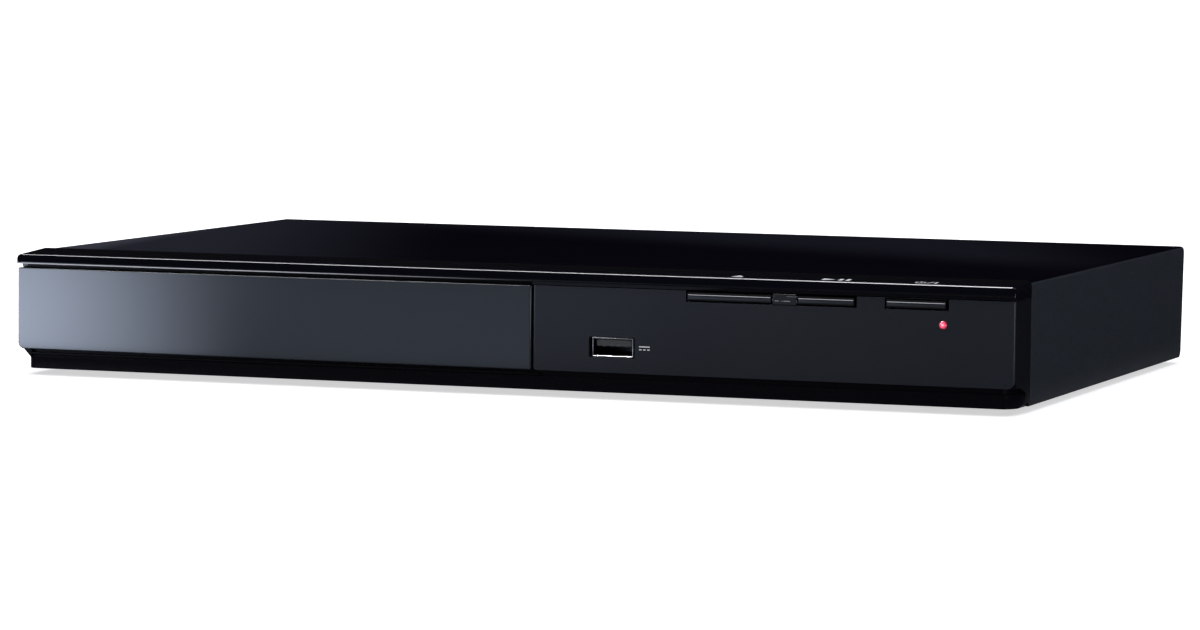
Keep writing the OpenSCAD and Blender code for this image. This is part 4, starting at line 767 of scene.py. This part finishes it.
# ---------------------------------------------------------------- Loader frame and its drive
# Dark grey moulded frame with a plated bridge over it; belt motor, two natural acetal
# gears, and the cam slider that lowers the traverse.
frame_grey = skin("frame_moulding", (0.030, 0.031, 0.036), 0.5, grain=1900, bump=0.000006, drift=0.18,
                  specular=0.4)
dress(frame_grey, "loader_frame")
bridge = skin("bridge_plate", (0.56, 0.57, 0.58), 0.3, grain=260, bump=0.000002, drift=0.1, metallic=1.0)
broken_edges("clamp_bridge", "bridge_plate", "case", bridge, 0.00015)
can = skin("drawn_can", (0.58, 0.59, 0.61), 0.27, grain=900, bump=0.000002, drift=0.1, metallic=1.0,
           stretch=(0.15, 0.15, 1))
broken_edges("loading_motor", "belt_motor", "case", can, 0.0003, segments=3, sharp=50)
belt_rubber = skin("belt_rubber", (0.016, 0.016, 0.016), 0.7, grain=1600, bump=0.00001, drift=0.3, specular=0.3)
dress(belt_rubber, "drive_belt")
acetal = skin("acetal_natural", (0.66, 0.64, 0.57), 0.4, grain=1300, bump=0.000003, drift=0.06)
for node, name in (("tray_gear", "tray_gear_teeth"), ("pulley_gear", "pulley_gear_teeth"),
                   ("motor_pulley", "motor_wheel"), ("cam_slider", "cam_bar")):
    broken_edges(node, name, node, acetal, 0.00008, segments=1)

# ---------------------------------------------------------------- Tray
# Fine textured dark tray with wells for both disc sizes, finger scallops and the slot
# that lets turntable and lens come up; its rack runs along the right side underneath.
tray_black = skin("tray_moulding", (0.019, 0.020, 0.023), 0.42, grain=2300, bump=0.000006, drift=0.18,
                  specular=0.42, pebble=True)
broken_edges("tray", "tray_moulding", "tray_unit", tray_black, 0.0003)

# ---------------------------------------------------------------- Traverse and clamper
# Glass-filled plate with spindle motor, rubber-seated turntable, ground rods, lead screw
# and die-cast pickup with its coated lens; the clamper with its magnet hangs above.
plate = skin("glass_filled", (0.062, 0.064, 0.071), 0.55, grain=1200, bump=0.000012, drift=0.3, specular=0.4)
broken_edges("traverse_frame", "traverse_plate", "traverse", plate, 0.0002, segments=1)
broken_edges("spindle_motor", "spindle_can", "traverse", can, 0.0003, sharp=50)
broken_edges("sled_motor", "sled_can", "traverse", can, 0.0003, sharp=50)
ground_steel = skin("ground_steel", (0.68, 0.69, 0.71), 0.13, grain=1500, bump=0.000001, drift=0.05,
                    metallic=1.0, stretch=(1, 0.1, 1))
dress(ground_steel, "guide_rods", "clamper_magnet")
seat = skin("seat_rubber", (0.020, 0.020, 0.021), 0.78, grain=1500, bump=0.000012, drift=0.25, specular=0.3)
hub = skin("hub_moulding", (0.16, 0.16, 0.17), 0.42, grain=1500, bump=0.000004, drift=0.15)
table = broken_edges("turntable", "turntable_disc", "turntable", seat, 0.0002, sharp=50)
low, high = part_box("turntable")
axis_x, axis_y, hub_radius = (low[0] + high[0]) / 2, (low[1] + high[1]) / 2, 0.0078
second_finish(table, hub, lambda at, n: math.hypot(at.x - axis_x, at.y - axis_y) < hub_radius)
cast = skin("cast_alloy", (0.20, 0.205, 0.21), 0.48, grain=700, bump=0.00001, drift=0.2, metallic=0.85)
broken_edges("pickup_body", "pickup_sled", "pickup", cast, 0.0002, segments=1)
coated_lens = skin("coated_lens", (0.10, 0.20, 0.42), 0.05, grain=600, bump=0.0000003, drift=0.3, coat=1.0)
dress(coated_lens, "pickup_lens")
dress(brass, "lead_screw")
broken_edges("clamper", "clamper_disc", "clamper", frame_grey, 0.0003, sharp=50)
